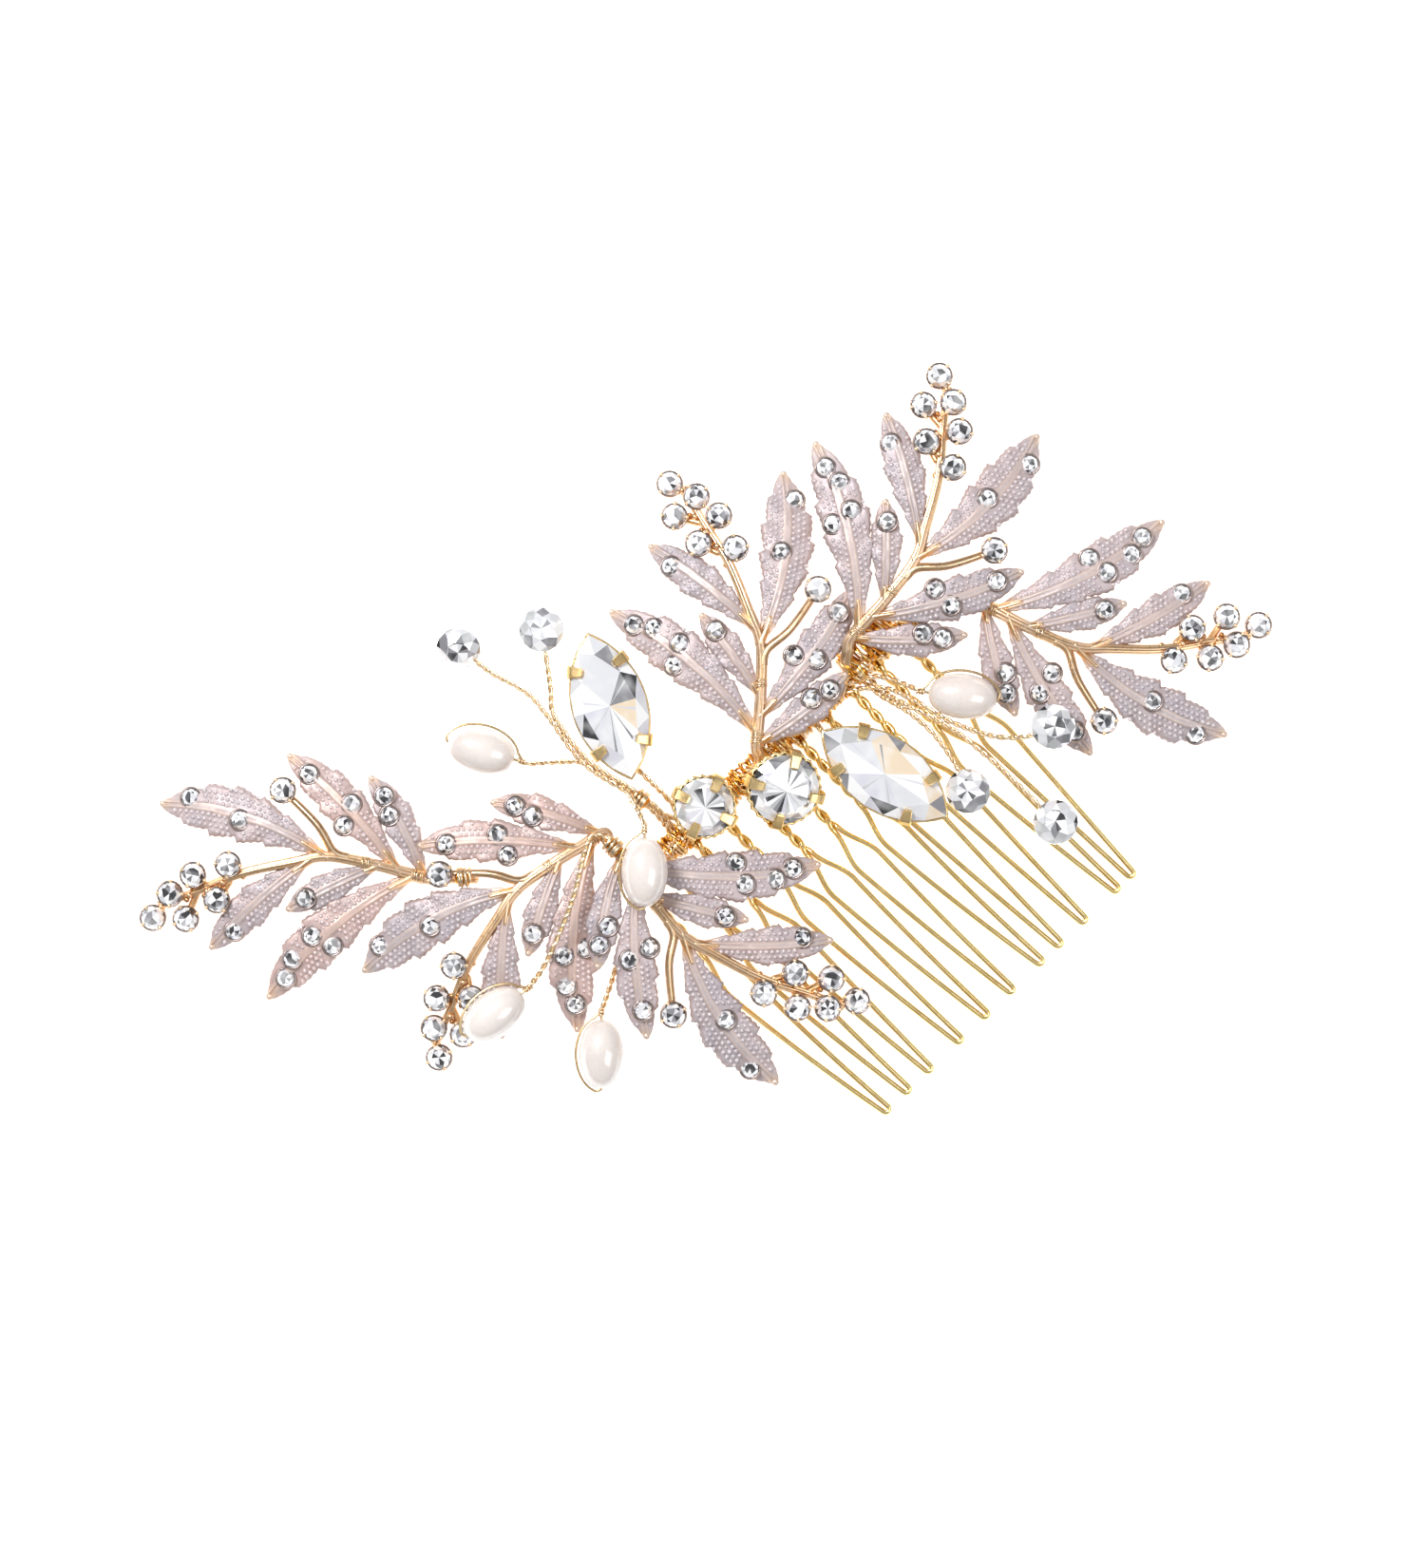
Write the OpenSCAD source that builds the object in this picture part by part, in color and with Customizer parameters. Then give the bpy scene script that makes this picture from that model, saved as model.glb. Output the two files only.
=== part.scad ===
/* [Comb] */
// Distance between neighbouring teeth
tooth_pitch = 4.9; // [4.8:0.05:5.0]
// Length of a tooth, from the spine's middle to its tip
tooth_length = 45.4; // [42:0.2:47]
// Length of the twisted shank at the top of a tooth
shank_length = 12.9; // [12:0.1:14]
// Diameter of the comb wire
comb_wire = 0.7; // [0.5:0.02:0.7]
// Widest opening of a tooth's hairpin, between wire middles
loop_width = 3.7; // [3:0.1:3.8]
// Diameter of the spine rod
spine_d = 1.4; // [1.2:0.05:1.4]
// Height of the spine's middle above the table
spine_z = 1.9; // [1.8:0.05:2]
// Upward bow of the teeth at mid length
tooth_bow = 0.8; // [0.5:0.1:0.9]

/* [Cast sprays] */
// Height that a spray's back rises between its base and its cluster
spray_rise = 1.3; // [1.2:0.05:1.4]
// Distance from a spray's base to its highest point
spray_peak = 13; // [12.8:0.1:13.4]
// Thickness of a leaf at its midrib
leaf_thickness = 0.7; // [0.6:0.05:0.8]
// Diameter of a spray's stem at its base
stem_d = 1.5; // [1.3:0.05:1.5]

/* [Stones] */
// Diameter of a stone set on a leaf
leaf_stone_d = 2.7; // [2.4:0.1:2.8]
// Diameter of a stone set in a cluster cup
cluster_stone_d = 3.4; // [3:0.1:3.5]
// Diameter of the small round centre stone
round_1_d = 8; // [7.6:0.1:8.2]
// Diameter of the large round centre stone
round_2_d = 9.6; // [9:0.1:9.8]
// Length of a marquise stone
marquise_length = 20; // [19:0.2:20.4]
// Width of a marquise stone
marquise_width = 10; // [9:0.2:10.2]
// Diameter of a crystal bead
crystal_d = 6.1; // [5.8:0.1:6.2]

/* [Pearls] */
// Length of a rice pearl along its drilled hole
pearl_length = 9.3; // [9:0.1:9.4]
// Diameter of a rice pearl
pearl_d = 6.2; // [5.8:0.1:6.2]
// Diameter of the drilled hole
pearl_bore = 0.4; // [0.38:0.01:0.5]

/* [Wires] */
// Width over a twisted pair of fine wires
twist_d = 0.6; // [0.5:0.02:0.6]
// Diameter of one strand of fine wire
strand_d = 0.3; // [0.26:0.01:0.3]
// Thickness of a wound binding's wall
binding_wall = 0.5; // [0.4:0.05:0.55]

/* [Hidden] */
tooth_count = 11;
// Moves the model so that its origin is below the middle of its box.
origin_shift = [9.98, -3.52, -0.02];
first_tooth_x = -27.4;
spine_ends = [-29, 25.5];
// Each tooth's own sideways lean at its tip, as bent by hand.
tooth_leans = [3.4, 2.3, 1.5, 2.3, 2.3, 2.2, 2.8, 1.4, 1.1, 2.3, 0.2];
tooth_tip_z = comb_wire / 2;
tooth_tip_r = 0.5;
shank_turns = 2.5;
steps_per_turn = 4;
wire_sides = 5;
strand_gap = 0.02;
hook_r = spine_d / 2 + comb_wire / 2 + 2 * strand_gap;
// Height of cast stems where they lie along the spine, above the teeth's hooks.
root_z = 4.1;
// Height of fine wires where they lie on the spine.
first_wire_z = 2.95;
second_wire_z = first_wire_z + twist_d + 0.05;
side_by_side = twist_d / 2 + strand_gap;
binding_r = stem_d / 2 + 0.1;
binding_length = 3.2;

/* One spray, in its own frame: base at the origin, growing along +Y. */
STEM = [[0, 0], [1.2, 3.2], [2.6, 7], [4.3, 13], [4, 18], [3.2, 25], [1.2, 32], [0.3, 36.4]];
// Each leaf: foot on the stem, tip, width, sideways bow, number of lobes.
LEAVES = [
    [[4.1, 15.5], [-6.3, 30], 5.2, 0.5, 5],
    [[2.4, 6.4], [-2.2, 19], 4.2, 0.2, 4],
    [[4.4, 13.4], [13.7, 34.7], 7, 1.8, 6],
    [[1.5, 3.8], [18.3, 16.8], 5.6, 0.9, 5],
    [[0.2, 0.4], [14.2, 6.1], 4.5, 0.6, 4],
    [[0.6, 1.6], [-13.8, 23], 6.6, 1.6, 6]
];
// Stones on each leaf, in the order of LEAVES.
LEAF_STONES = [
    [[-4.4, 26.6]],
    [[-1, 16.5]],
    [[14.1, 30.7], [10.4, 24.3]],
    [[15.6, 14.4], [8.2, 10.4], [11, 9.1]],
    [[8.9, 4.2], [11.6, 4.6]],
    [[-11.4, 20.4], [-8.9, 19.2], [-6.1, 16.2], [-7.7, 13.6]]
];
CLUSTER = [[0, 28.5], [4.6, 26.5], [-2.1, 33], [3.7, 31.4], [-1.5, 37.5], [1.5, 34.8]];
SINGLE = [13.8, 18.1];
stalk_foot = [5, 12.2];
side_fall = 0.009;
leaf_lift = 0.5;
rib_height = 0.35;
stone_table = 0.62;
seat_rise = -0.2;
cup_rise = 0.9;
cup_height = 1.1;

// Where each spray's base stands, its turn about Z, its droop, and the root bent back to what holds it.
SPRAYS = [
    [[-47, 20.4, 3.9], 52, 0, [[-44.6, 18.3, 4.9], [-42.1, 15.9, 5.4]]],
    [[-25.6, 8.3, 6.2], 97.5, 0, [[-25.9, 6.9, 5.9], [-25.9, 5, 5.4], [-24.6, 2.8, 4.8],
                                  [-22.6, 0.8, 4.3], [-21.2, 0, root_z], [-18.7, 0, root_z]]],
    [[-26, 4.8, 8.5], -168, 0, [[-25.95, 6, 7.9], [-25.9, 7.4, 7.6]]],
    [[-2.8, 2.4, 5.3], -28, 2.15, [[-3.5, 1, 4.8], [-4.8, 0.1, 4.2], [-7, 0, root_z]]],
    [[16.3, 4.1, 6.4], -65, 0, [[15, 3.2, 5.8], [14, 2.4, 5.2], [13.5, 1.5, 4.7], [13.6, 0.6, 4.3],
                                [14.3, 0, root_z], [16.1, 0, root_z]]],
    [[32.5, -4.8, 3.95], -140.5, 0, [[30.8, -2.8, 4.4], [28.6, -0.8, 4.2], [26.6, 0, root_z],
                                    [22.9, 0, root_z]]]
];

// Centre, long-axis angle and foot height of the two marquise settings, then their stems.
MARQUISES = [
    [[-13.2, 20, 4.6], 62.9, [[-16.5, 12.4, 5.1], [-16.2, 7, 4.6], [-16.4, 3, 3.6],
                              [-16.2, 0.8, 3.1], [-15.5, 0, 2.95], [-13.5, 0, 2.95]]],
    [[7.1, -12.2, 4], 101.9, [[5.2, -4.2, 4.5], [5.1, -1.8, 3.9], [5.6, -0.7, 3.2],
                              [5.1, 0, 2.95], [2.9, 0, 2.95]]]
];
marquise_cup = 2.8;
// Foot, stone diameter, turn and lean towards -Y of the two round settings, then their stems.
ROUNDS = [
    [[-13.4, 1.7, 5.3], round_1_d, 20, 6, [[-13.4, 1.7, 5.5], [-11.9, 1.3, 4.3],
                                        [-11.1, 0.2, 3.1], [-10.7, 0, 2.95], [-8.7, 0, 2.95]]],
    [[-4, -3.3, 5.8], round_2_d, 32, 18, [[-4, -3.3, 6], [-2.1, -2.4, 4.7], [-2, -0.8, 3.4],
                                      [-1.5, 0, 2.95], [0.9, 0, 2.95]]]
];

// Each pearl: centre, angle of its axis towards its stem, side of the outer strand, stem points.
PEARLS = [
    [[-29.8, 27.7, 6.5], -59, 1, [[-26.4, 22, 6.2], [-23.4, 19.4, 5.7], [-20.8, 16.5, 5.35],
        [-19.2, 10, 5.1], [-18.6, 6, 4.6], [-17.6, 3.4, 3.9], [-16.9, 1.3, 3.7],
        [-15.8, 0, second_wire_z], [-13.5, 0, second_wire_z]]],
    [[-25.2, 0.7, 13.6], 46, 1, [[-20.7, 5.6, 13], [-19.6, 9, 11], [-19.4, 10.9, 8.6],
        [-19, 9.7, 6.7], [-18.75, 6.9, 6.4]]],
    [[-53, 0.9, 10.8], -6, 1, [[-46.6, 0.4, 10.7], [-43, 1.2, 10.6], [-35, 4.6, 10.6],
        [-29.5, 8, 10.4], [-27.1, 9, 9.9], [-26, 8, 9.4], [-25.9, 6.8, 9.35], [-25.9, 5.2, 9.8]]],
    [[-46.4, -12.9, 7.6], 46, 1, [[-41.9, -8.5, 7.1], [-37.9, -6.4, 5.4], [-33, -3.4, 4],
        [-29.6, -1.2, 3.7], [-27.5, -0.1, 3.65], [-26.2, 0, 3], [-23.5, 0, first_wire_z]]],
    [[21.9, -11.9, 7], 130, -1, [[18.2, -7.2, 6.6], [16.8, -4, 5.6], [15.4, -1.9, 4.9],
        [13.2, -0.6, 4.2], [11.3, 0.2, 3.5], [10.4, side_by_side, first_wire_z],
        [7.8, side_by_side, first_wire_z]]]
];

// Each crystal: centre, tilt about X and Y, stem points from the crystal to the spine.
CRYSTALS = [
    [[-22.5, 39.7, 6.5], [18, -20], [[-21.5, 34, 6.3], [-20, 29, 6.1], [-20.2, 24.6, 6],
        [-21.1, 17, 6], [-19.5, 10, 6], [-18.8, 6, 5.6], [-19, 2.6, 4], [-19.2, 1.2, 3.2],
        [-19.8, 0.4, first_wire_z], [-21.3, side_by_side, first_wire_z]]],
    [[-12.7, 33.8, 6.5], [-4, 5], [[-15.3, 30, 6.3], [-17.5, 27, 6.1], [-19.5, 24.2, 6],
        [-20.4, 17, 6], [-18.85, 10, 6], [-18.15, 6, 5.6], [-18.35, 2.6, 4], [-18.45, 1, 3.2],
        [-19, -0.2, first_wire_z], [-21.3, -side_by_side, first_wire_z]]],
    [[27.8, -23.3, 8.3], [3, 6], [[24, -21.6, 8], [21.2, -18.7, 7.1], [18.6, -13.8, 6.4],
        [17, -8.4, 5.9], [15.6, -4.6, 5.1], [13.7, -2.4, 4.6], [11.6, -0.9, 3.7],
        [10.4, -side_by_side, first_wire_z], [7.8, -side_by_side, first_wire_z]]],
    [[13.6, -21.6, 6.5], [-6, -3], [[15, -17.4, 6.2], [15.6, -12.9, 6], [15.2, -8.4, 5.8],
        [14.2, -4.6, 4.6], [13.8, -1.8, 3.4], [13.6, -0.7, first_wire_z],
        [13, -side_by_side, first_wire_z], [12.7, -side_by_side, first_wire_z]]],
    [[19.2, -32.8, 6.2], [-8, 4], [[19.1, -27, 6.2], [18.7, -20, 6.1], [17.8, -13.9, 6],
        [16, -8.4, 5.8], [14.8, -4.6, 4.8], [14.6, -1.8, 3.5], [14.5, -0.3, first_wire_z],
        [13.9, side_by_side, first_wire_z], [12.7, side_by_side, first_wire_z]]]
];

// Bindings on the spine: middle along X, and height of the highest thing bound to it.
BINDINGS = [
    [-24.95, first_wire_z], [-20.05, root_z], [-15.15, second_wire_z], [-10.25, first_wire_z],
    [-5.35, root_z], [-0.45, first_wire_z], [4.45, first_wire_z], [9.35, first_wire_z],
    [14.25, root_z], [19.15, first_wire_z], [24, root_z]
];
// Ties away from the spine: middle, angle along the tied stems, and upper height.
TIES = [[[-43.35, 17.1, 5.15], -44, 6.9], [[-25.9, 6, 5.65], 90, 9.4], [[-18.9, 8.1, 5.3], 97, 6.3]];

function two_digits(i) = str(i < 10 ? "0" : "", i);
function tooth_name(i) = str("tooth_", two_digits(i));

/* Paths and skins */
function unit(v) = v / norm(v);
function xy(p) = [p[0], p[1]];
function spread(a, b, t) = a + (b - a) * t;
// A smooth curve through the points, with a number of steps between each pair.
function smooth(pts, steps) =
    let (last = len(pts) - 1)
    [for (i = [0 : last - 1], s = [0 : steps - 1])
        let (a = pts[max(i - 1, 0)], b = pts[i], c = pts[i + 1], d = pts[min(i + 2, last)], t = s / steps)
        (2 * b + (c - a) * t + (2 * a - 5 * b + 4 * c - d) * t * t + (3 * b - a - 3 * c + d) * t * t * t) / 2,
     pts[last]];
function tangents(pts) =
    [for (i = [0 : len(pts) - 1]) unit(pts[min(i + 1, len(pts) - 1)] - pts[max(i - 1, 0)])];
function square_to(n, t) = unit(n - (n * t) * t);
// Carries one normal along the path, so that the rings don't twist.
function normals(tans, first) =
    [for (i = 0, n = square_to(first, tans[0]); i < len(tans); i = i + 1,
          n = square_to(n, tans[min(i, len(tans) - 1)])) n];
function rings_along(pts, radii, sides, first) =
    let (tans = tangents(pts), norms = normals(tans, first))
    [for (i = [0 : len(pts) - 1])
        let (n = norms[i], b = cross(tans[i], n))
        [for (k = [0 : sides - 1]) pts[i] + radii[i] * (cos(360 * k / sides) * n + sin(360 * k / sides) * b)]];

// One closed skin over rings that all have the same number of points.
module skin(rings) {
    n = len(rings[0]);
    last = len(rings) - 1;
    points = [for (ring = rings, p = ring) p];
    walls = [for (i = [0 : last - 1], k = [0 : n - 1])
        let (a = i * n + k, b = i * n + (k + 1) % n)
        for (face = [[a, a + n, b + n], [a, b + n, b]]) face];
    first_cap = [for (k = [0 : n - 1]) k];
    last_cap = [for (k = [0 : n - 1]) last * n + n - 1 - k];
    polyhedron(points, concat(walls, [first_cap, last_cap]));
}

module wire(pts, d, first = [0, 0, 1]) {
    skin(rings_along(pts, [for (p = pts) d / 2], wire_sides, first));
}

module stand(place, turn, droop = 0) {
    translate(place)
        rotate([-droop, 0, turn])
            children();
}

/* Comb */
function tooth_x(i) = first_tooth_x + tooth_pitch * (i - 1);
// Middle line of a tooth at a distance below the spine.
function tooth_line(i, down) =
    let (s = down / tooth_length)
    [tooth_x(i) + tooth_leans[i - 1] * s * s,
     -down,
     spread(spine_z, tooth_tip_z, s) + tooth_bow * 4 * s * (1 - s)];
function opening(u) =
    let (twisted = comb_wire / 2 + strand_gap / 2, widest = 0.2)
    u < widest
        ? spread(twisted, loop_width / 2, (1 - cos(180 * u / widest)) / 2)
        : spread(loop_width / 2, tooth_tip_r, (u - widest) / (1 - widest));
// Half of a tooth's wire, from its hook over the spine to the start of the tip's bend.
function half_tooth(i, side) =
    let (r = comb_wire / 2 + strand_gap / 2,
         steps = shank_turns * steps_per_turn,
         free = tooth_length - tooth_tip_r - shank_length)
    concat(
        [for (a = [150 : -50 : 50])
            [tooth_x(i) - side * r, -hook_r * cos(a), spine_z + side * hook_r * sin(a)]],
        [for (k = [0 : floor(steps)])
            let (down = spread(hook_r, shank_length, k / steps), turn = 180 + 360 * k / steps_per_turn)
            tooth_line(i, down) + side * r * [cos(turn), 0, sin(turn)]],
        [for (u = [0.08, 0.15, 0.25, 0.6, 1])
            tooth_line(i, shank_length + free * u) + [side * opening(u), 0, 0]]
    );
function tooth_path(i) =
    let (tip = tooth_line(i, tooth_length - tooth_tip_r), right = half_tooth(i, 1), left = half_tooth(i, -1))
    concat(
        right,
        [for (a = [45 : 45 : 135]) tip + tooth_tip_r * [cos(a), -sin(a), 0]],
        [for (k = [len(left) - 1 : -1 : 0]) left[k]]
    );

module tooth(i) {
    color("gold")
        wire(tooth_path(i), comb_wire, [1, 0, 0]);
}

module spine_rod() {
    color("gold")
        translate([spine_ends[0], 0, spine_z])
            rotate([0, 90, 0])
                cylinder(d = spine_d, h = spine_ends[1] - spine_ends[0], $fn = 32);
}

// A wound coil, as the sleeve that it fills, round two stacked round things.
module sleeve(height, length) {
    rotate([90, 0, 0])
        translate([0, 0, -length / 2])
            linear_extrude(length)
                difference() {
                    tall_ring(height, binding_r + binding_wall);
                    tall_ring(height, binding_r);
                }
}

module tall_ring(height, r) {
    circle(r, $fn = 32);
    translate([0, height])
        circle(r, $fn = 32);
    translate([-r, 0])
        square([2 * r, height]);
}

module spine_bindings() {
    color("gold")
        for (b = BINDINGS)
            translate([b[0], 0, spine_z])
                rotate([0, 0, 90])
                    sleeve(b[1] - spine_z, binding_length);
}

module stem_ties() {
    color("gold")
        for (t = TIES)
            stand(t[0], t[1] + 90)
                sleeve(t[2] - t[0][2], binding_length * 0.7);
}

/* Sprays */
// Height of a spray's back, which falls away to its far end and to its sides.
function dome(p) =
    spray_rise * (1 - pow((p[1] - spray_peak) / spray_peak, 2)) - side_fall * pow(p[0] - STEM[3][0], 2);
function on_dome(p, rise = 0) = [p[0], p[1], dome(p) + rise];

function leaf_chord(leaf) = leaf[1] - leaf[0];
function leaf_side(leaf) =
    let (c = unit(leaf_chord(leaf)))
    [c[1], -c[0]];
function leaf_bow(leaf, t) = leaf[3] * 4 * t * (1 - t);
function leaf_point(leaf, t, across) =
    leaf[0] + leaf_chord(leaf) * t + leaf_side(leaf) * (leaf_bow(leaf, t) + across);
// Half width: a narrow stalk, a blade widest past its middle, then a fine tip.
function leaf_half(leaf, t) =
    let (blade = pow(max(0, sin(180 * pow(min(t, 1), 1.35))), 0.85),
         lobe = 0.86 + 0.2 * abs(sin(180 * t * leaf[4])))
    0.42 + (leaf[2] / 2 - 0.42) * blade * lobe;
function leaf_top(leaf, t, across) =
    let (w = leaf_half(leaf, t), s = across / w)
    dome(leaf_point(leaf, t, across)) + leaf_lift * sin(180 * t)
        + rib_height * max(0, 1 - abs(across) / 0.7) - 0.4 * s * s * sin(180 * t);
function leaf_ring(leaf, t) =
    let (w = leaf_half(leaf, t), thin = leaf_thickness * 0.6)
    concat(
        [for (s = [-1, -0.5, 0, 0.5, 1])
            let (p = leaf_point(leaf, t, s * w)) [p[0], p[1], leaf_top(leaf, t, s * w)]],
        [for (s = [1, 0, -1])
            let (p = leaf_point(leaf, t, s * w))
            [p[0], p[1], leaf_top(leaf, t, s * w) - (s == 0 ? leaf_thickness + rib_height : thin)]]
    );
// Where a stone on a leaf has its flat back.
function leaf_seat(leaf, p) =
    let (chord = leaf_chord(leaf),
         t = ((p - leaf[0]) * chord) / (chord * chord),
         across = (p - leaf[0]) * leaf_side(leaf) - leaf_bow(leaf, t))
    [p[0], p[1], leaf_top(leaf, t, across) + seat_rise];
function cup_seat(p) = on_dome(p, cup_rise);
// The nearest place for a cup's arm on the stem.
function arm_foot(p) =
    let (t = min(1, max(0, (p[1] - 2 - STEM[4][1]) / (STEM[7][1] - STEM[4][1]))))
    on_dome([spread(STEM[4][0], STEM[7][0], t), spread(STEM[4][1], STEM[7][1], t)], -0.3);

module leaf(shape) {
    steps = shape[4] * 2;
    skin([for (k = [0 : steps]) leaf_ring(shape, k / steps)]);
}

module cup(seat, foot) {
    hull() {
        translate(seat - [0, 0, cup_height])
            cylinder(d1 = cluster_stone_d * 0.8, d2 = cluster_stone_d + 0.4, h = cup_height, $fn = 8);
        translate(foot)
            sphere(d = 0.9, $fn = 5);
    }
}

module stalk(from, to, d) {
    hull() {
        translate(from)
            sphere(d = d, $fn = 6);
        translate(to)
            sphere(d = d, $fn = 6);
    }
}

module spray_stem(root) {
    body = smooth([for (p = STEM) on_dome(p)], 2);
    back = [for (k = [len(root) - 1 : -1 : 0]) root[k]];
    line = concat(smooth(concat(back, [body[0]]), 2), [for (k = [1 : len(body) - 1]) body[k]]);
    radii = [for (p = line) stem_d / 2 * spread(1, 0.65, max(0, p[1]) / STEM[7][1])];
    skin(rings_along(line, radii, 6, [0, 0, 1]));
}

module spray_casting(i) {
    place = SPRAYS[i - 1][0];
    turn = SPRAYS[i - 1][1];
    droop = SPRAYS[i - 1][2];
    root = [for (p = SPRAYS[i - 1][3])
        let (d = p - place,
             flat = [d[0] * cos(turn) + d[1] * sin(turn), d[1] * cos(turn) - d[0] * sin(turn), d[2]])
        [flat[0], flat[1] * cos(droop) - flat[2] * sin(droop), flat[1] * sin(droop) + flat[2] * cos(droop)]];
    color("rosybrown")
        stand(place, turn, droop)
            union() {
                spray_stem(root);
                for (shape = LEAVES)
                    leaf(shape);
                for (p = CLUSTER)
                    cup(cup_seat(p), arm_foot(p));
                stalk(on_dome(stalk_foot), on_dome(SINGLE, -0.1), 1.1);
                cup(cup_seat(SINGLE), on_dome(SINGLE, -0.3));
            }
}

// A round stone with a flat foiled back, a girdle and a bevelled crown.
module chaton(d) {
    rotate_extrude($fn = 24)
        polygon([[0, 0], [d * 0.46, 0], [d / 2, d * 0.08], [d / 2, d * 0.16],
                 [d / 2 * stone_table, d * 0.36], [0, d * 0.36]]);
}

module spray_stones(i) {
    color("whitesmoke")
        stand(SPRAYS[i - 1][0], SPRAYS[i - 1][1], SPRAYS[i - 1][2]) {
            for (k = [0 : len(LEAVES) - 1], p = LEAF_STONES[k])
                translate(leaf_seat(LEAVES[k], p))
                    chaton(leaf_stone_d);
            for (p = concat(CLUSTER, [SINGLE]))
                translate(cup_seat(p))
                    chaton(cluster_stone_d);
        }
}

/* Settings */
function lens_r() = (pow(marquise_length / 2, 2) + pow(marquise_width / 2, 2)) / marquise_width;
module lens(grow) {
    r = lens_r() + grow;
    shift = lens_r() - marquise_width / 2;
    intersection() {
        translate([0, shift])
            circle(r, $fn = 64);
        translate([0, -shift])
            circle(r, $fn = 64);
    }
}

// An upright claw whose top is bent over the stone.
module prong(at, inward, foot_z, top_z) {
    d = 0.9;
    hull() {
        translate([at[0], at[1], foot_z])
            cylinder(d = d, h = 0.4, $fn = 8);
        translate([at[0], at[1], top_z - 0.5])
            cylinder(d = d, h = 0.4, $fn = 8);
    }
    hull() {
        translate([at[0], at[1], top_z - 0.6])
            cylinder(d = d, h = 0.5, $fn = 8);
        translate([at[0] - inward[0], at[1] - inward[1], top_z - 0.4])
            cylinder(d = d * 0.8, h = 0.4, $fn = 8);
    }
}

module marquise_setting(i) {
    spec = MARQUISES[i - 1];
    reach = marquise_length * 0.27;
    out = lens_r() + 0.35;
    y = sqrt(out * out - reach * reach) - lens_r() + marquise_width / 2;
    color("goldenrod") {
        stand(spec[0], spec[1]) {
            difference() {
                linear_extrude(marquise_cup)
                    lens(0.3);
                translate([0, 0, 0.5])
                    linear_extrude(marquise_cup)
                        lens(-0.3);
            }
            for (sx = [-1, 1], sy = [-1, 1])
                prong([sx * reach, sy * y], [sx * 0.2, sy * 1], 0.6, marquise_cup + 1.7);
        }
        wire(smooth(spec[2], 2), twist_d);
    }
}

// The lens outline as points, for the faceted stone.
function lens_outline(scale, n = 8) =
    let (r = lens_r(), half = asin(marquise_length / 2 / r))
    scale * concat(
        [for (k = [0 : n - 1]) let (a = spread(-half, half, k / n)) [r * sin(a), r * cos(a) - r + marquise_width / 2]],
        [for (k = [0 : n - 1]) let (a = spread(half, -half, k / n)) [r * sin(a), -r * cos(a) + r - marquise_width / 2]]
    );
module marquise_stone(i) {
    spec = MARQUISES[i - 1];
    levels = [[0.3, 1], [0.9, marquise_cup], [1, marquise_cup + 0.15], [1, marquise_cup + 0.65], [0.6, marquise_cup + 2]];
    color("white")
        stand(spec[0], spec[1])
            skin([for (level = [for (k = [len(levels) - 1 : -1 : 0]) levels[k]])
                [for (p = lens_outline(level[0])) [p[0], p[1], level[1] + 0.02]]]);
}

function round_cup(d) = d * 0.3;
module lean(spec) {
    translate(spec[0])
        rotate([spec[3], 0, 0])
            rotate([0, 0, spec[2]])
                children();
}

module round_setting(i) {
    spec = ROUNDS[i - 1];
    d = spec[1];
    h = round_cup(d);
    color("goldenrod") {
        lean(spec) {
            rotate_extrude($fn = 32)
                polygon([[0, 0], [d * 0.3, 0], [d / 2 + 0.2, h], [d / 2 - 0.35, h], [d * 0.26, 0.5], [0, 0.5]]);
            for (a = [0 : 90 : 270])
                prong((d / 2 + 0.25) * [cos(a), sin(a)], 0.9 * [cos(a), sin(a)], h * 0.75, h + d * 0.13 + 0.55);
        }
        wire(smooth(spec[4], 2), twist_d);
    }
}

module round_stone(i) {
    spec = ROUNDS[i - 1];
    d = spec[1];
    h = round_cup(d);
    color("white")
        lean(spec)
            translate([0, 0, h + 0.02])
                rotate_extrude($fn = 32)
                    polygon([[0, -h * 0.6], [d / 2 - 0.6, 0], [d / 2, 0.1], [d / 2, d * 0.06],
                             [d * 0.28, d * 0.17], [0, d * 0.17]]);
}

/* Pearls and crystals */
// Half outline of a rice pearl, blunter than an ellipse.
function rice(a) = [pearl_d / 2 * pow(sin(a), 0.9), -pearl_length / 2 * cos(a)];
function pearl_axis(i) = [cos(PEARLS[i - 1][1]), sin(PEARLS[i - 1][1]), 0];
module pearl(i) {
    spec = PEARLS[i - 1];
    r = pearl_bore / 2;
    color("ivory")
        translate(spec[0])
            rotate([0, 90, spec[1]])
                rotate_extrude($fn = 40)
                    polygon(concat(
                        [[r, -pearl_length / 2 + 0.05]],
                        [for (a = [12 : 12 : 168]) rice(a)],
                        [[r, pearl_length / 2 - 0.05]]
                    ));
}

// Fine wire through the pearl's hole, back round its outside, then twisted down to the spine.
module pearl_wire(i) {
    spec = PEARLS[i - 1];
    along = pearl_axis(i);
    across = spec[2] * [-along[1], along[0], 0];
    centre = spec[0];
    over = pearl_length / 2 + 0.45;
    beside = pearl_d / 2 + 0.35;
    loop = [for (a = [12 : 24 : 156]) centre - along * over * cos(a) + across * beside * sin(a)];
    hole = [centre + along * (pearl_length / 2 + 0.3), centre - along * (pearl_length / 2 + 0.1)];
    back = spec[3];
    stem = smooth([for (k = [len(back) - 1 : -1 : 0]) back[k]], 2);
    start = [for (k = [0 : len(stem) - 1]) stem[k]];
    path = concat(start, [centre + along * (pearl_length / 2 + 1)], hole, loop,
                  [centre + along * (over + 0.6) + across * 0.6]);
    radii = [for (k = [0 : len(path) - 1]) k < len(start) ? twist_d / 2 : strand_d / 2];
    color("gold")
        skin(rings_along(path, radii, wire_sides, [0, 0, 1]));
}

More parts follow.
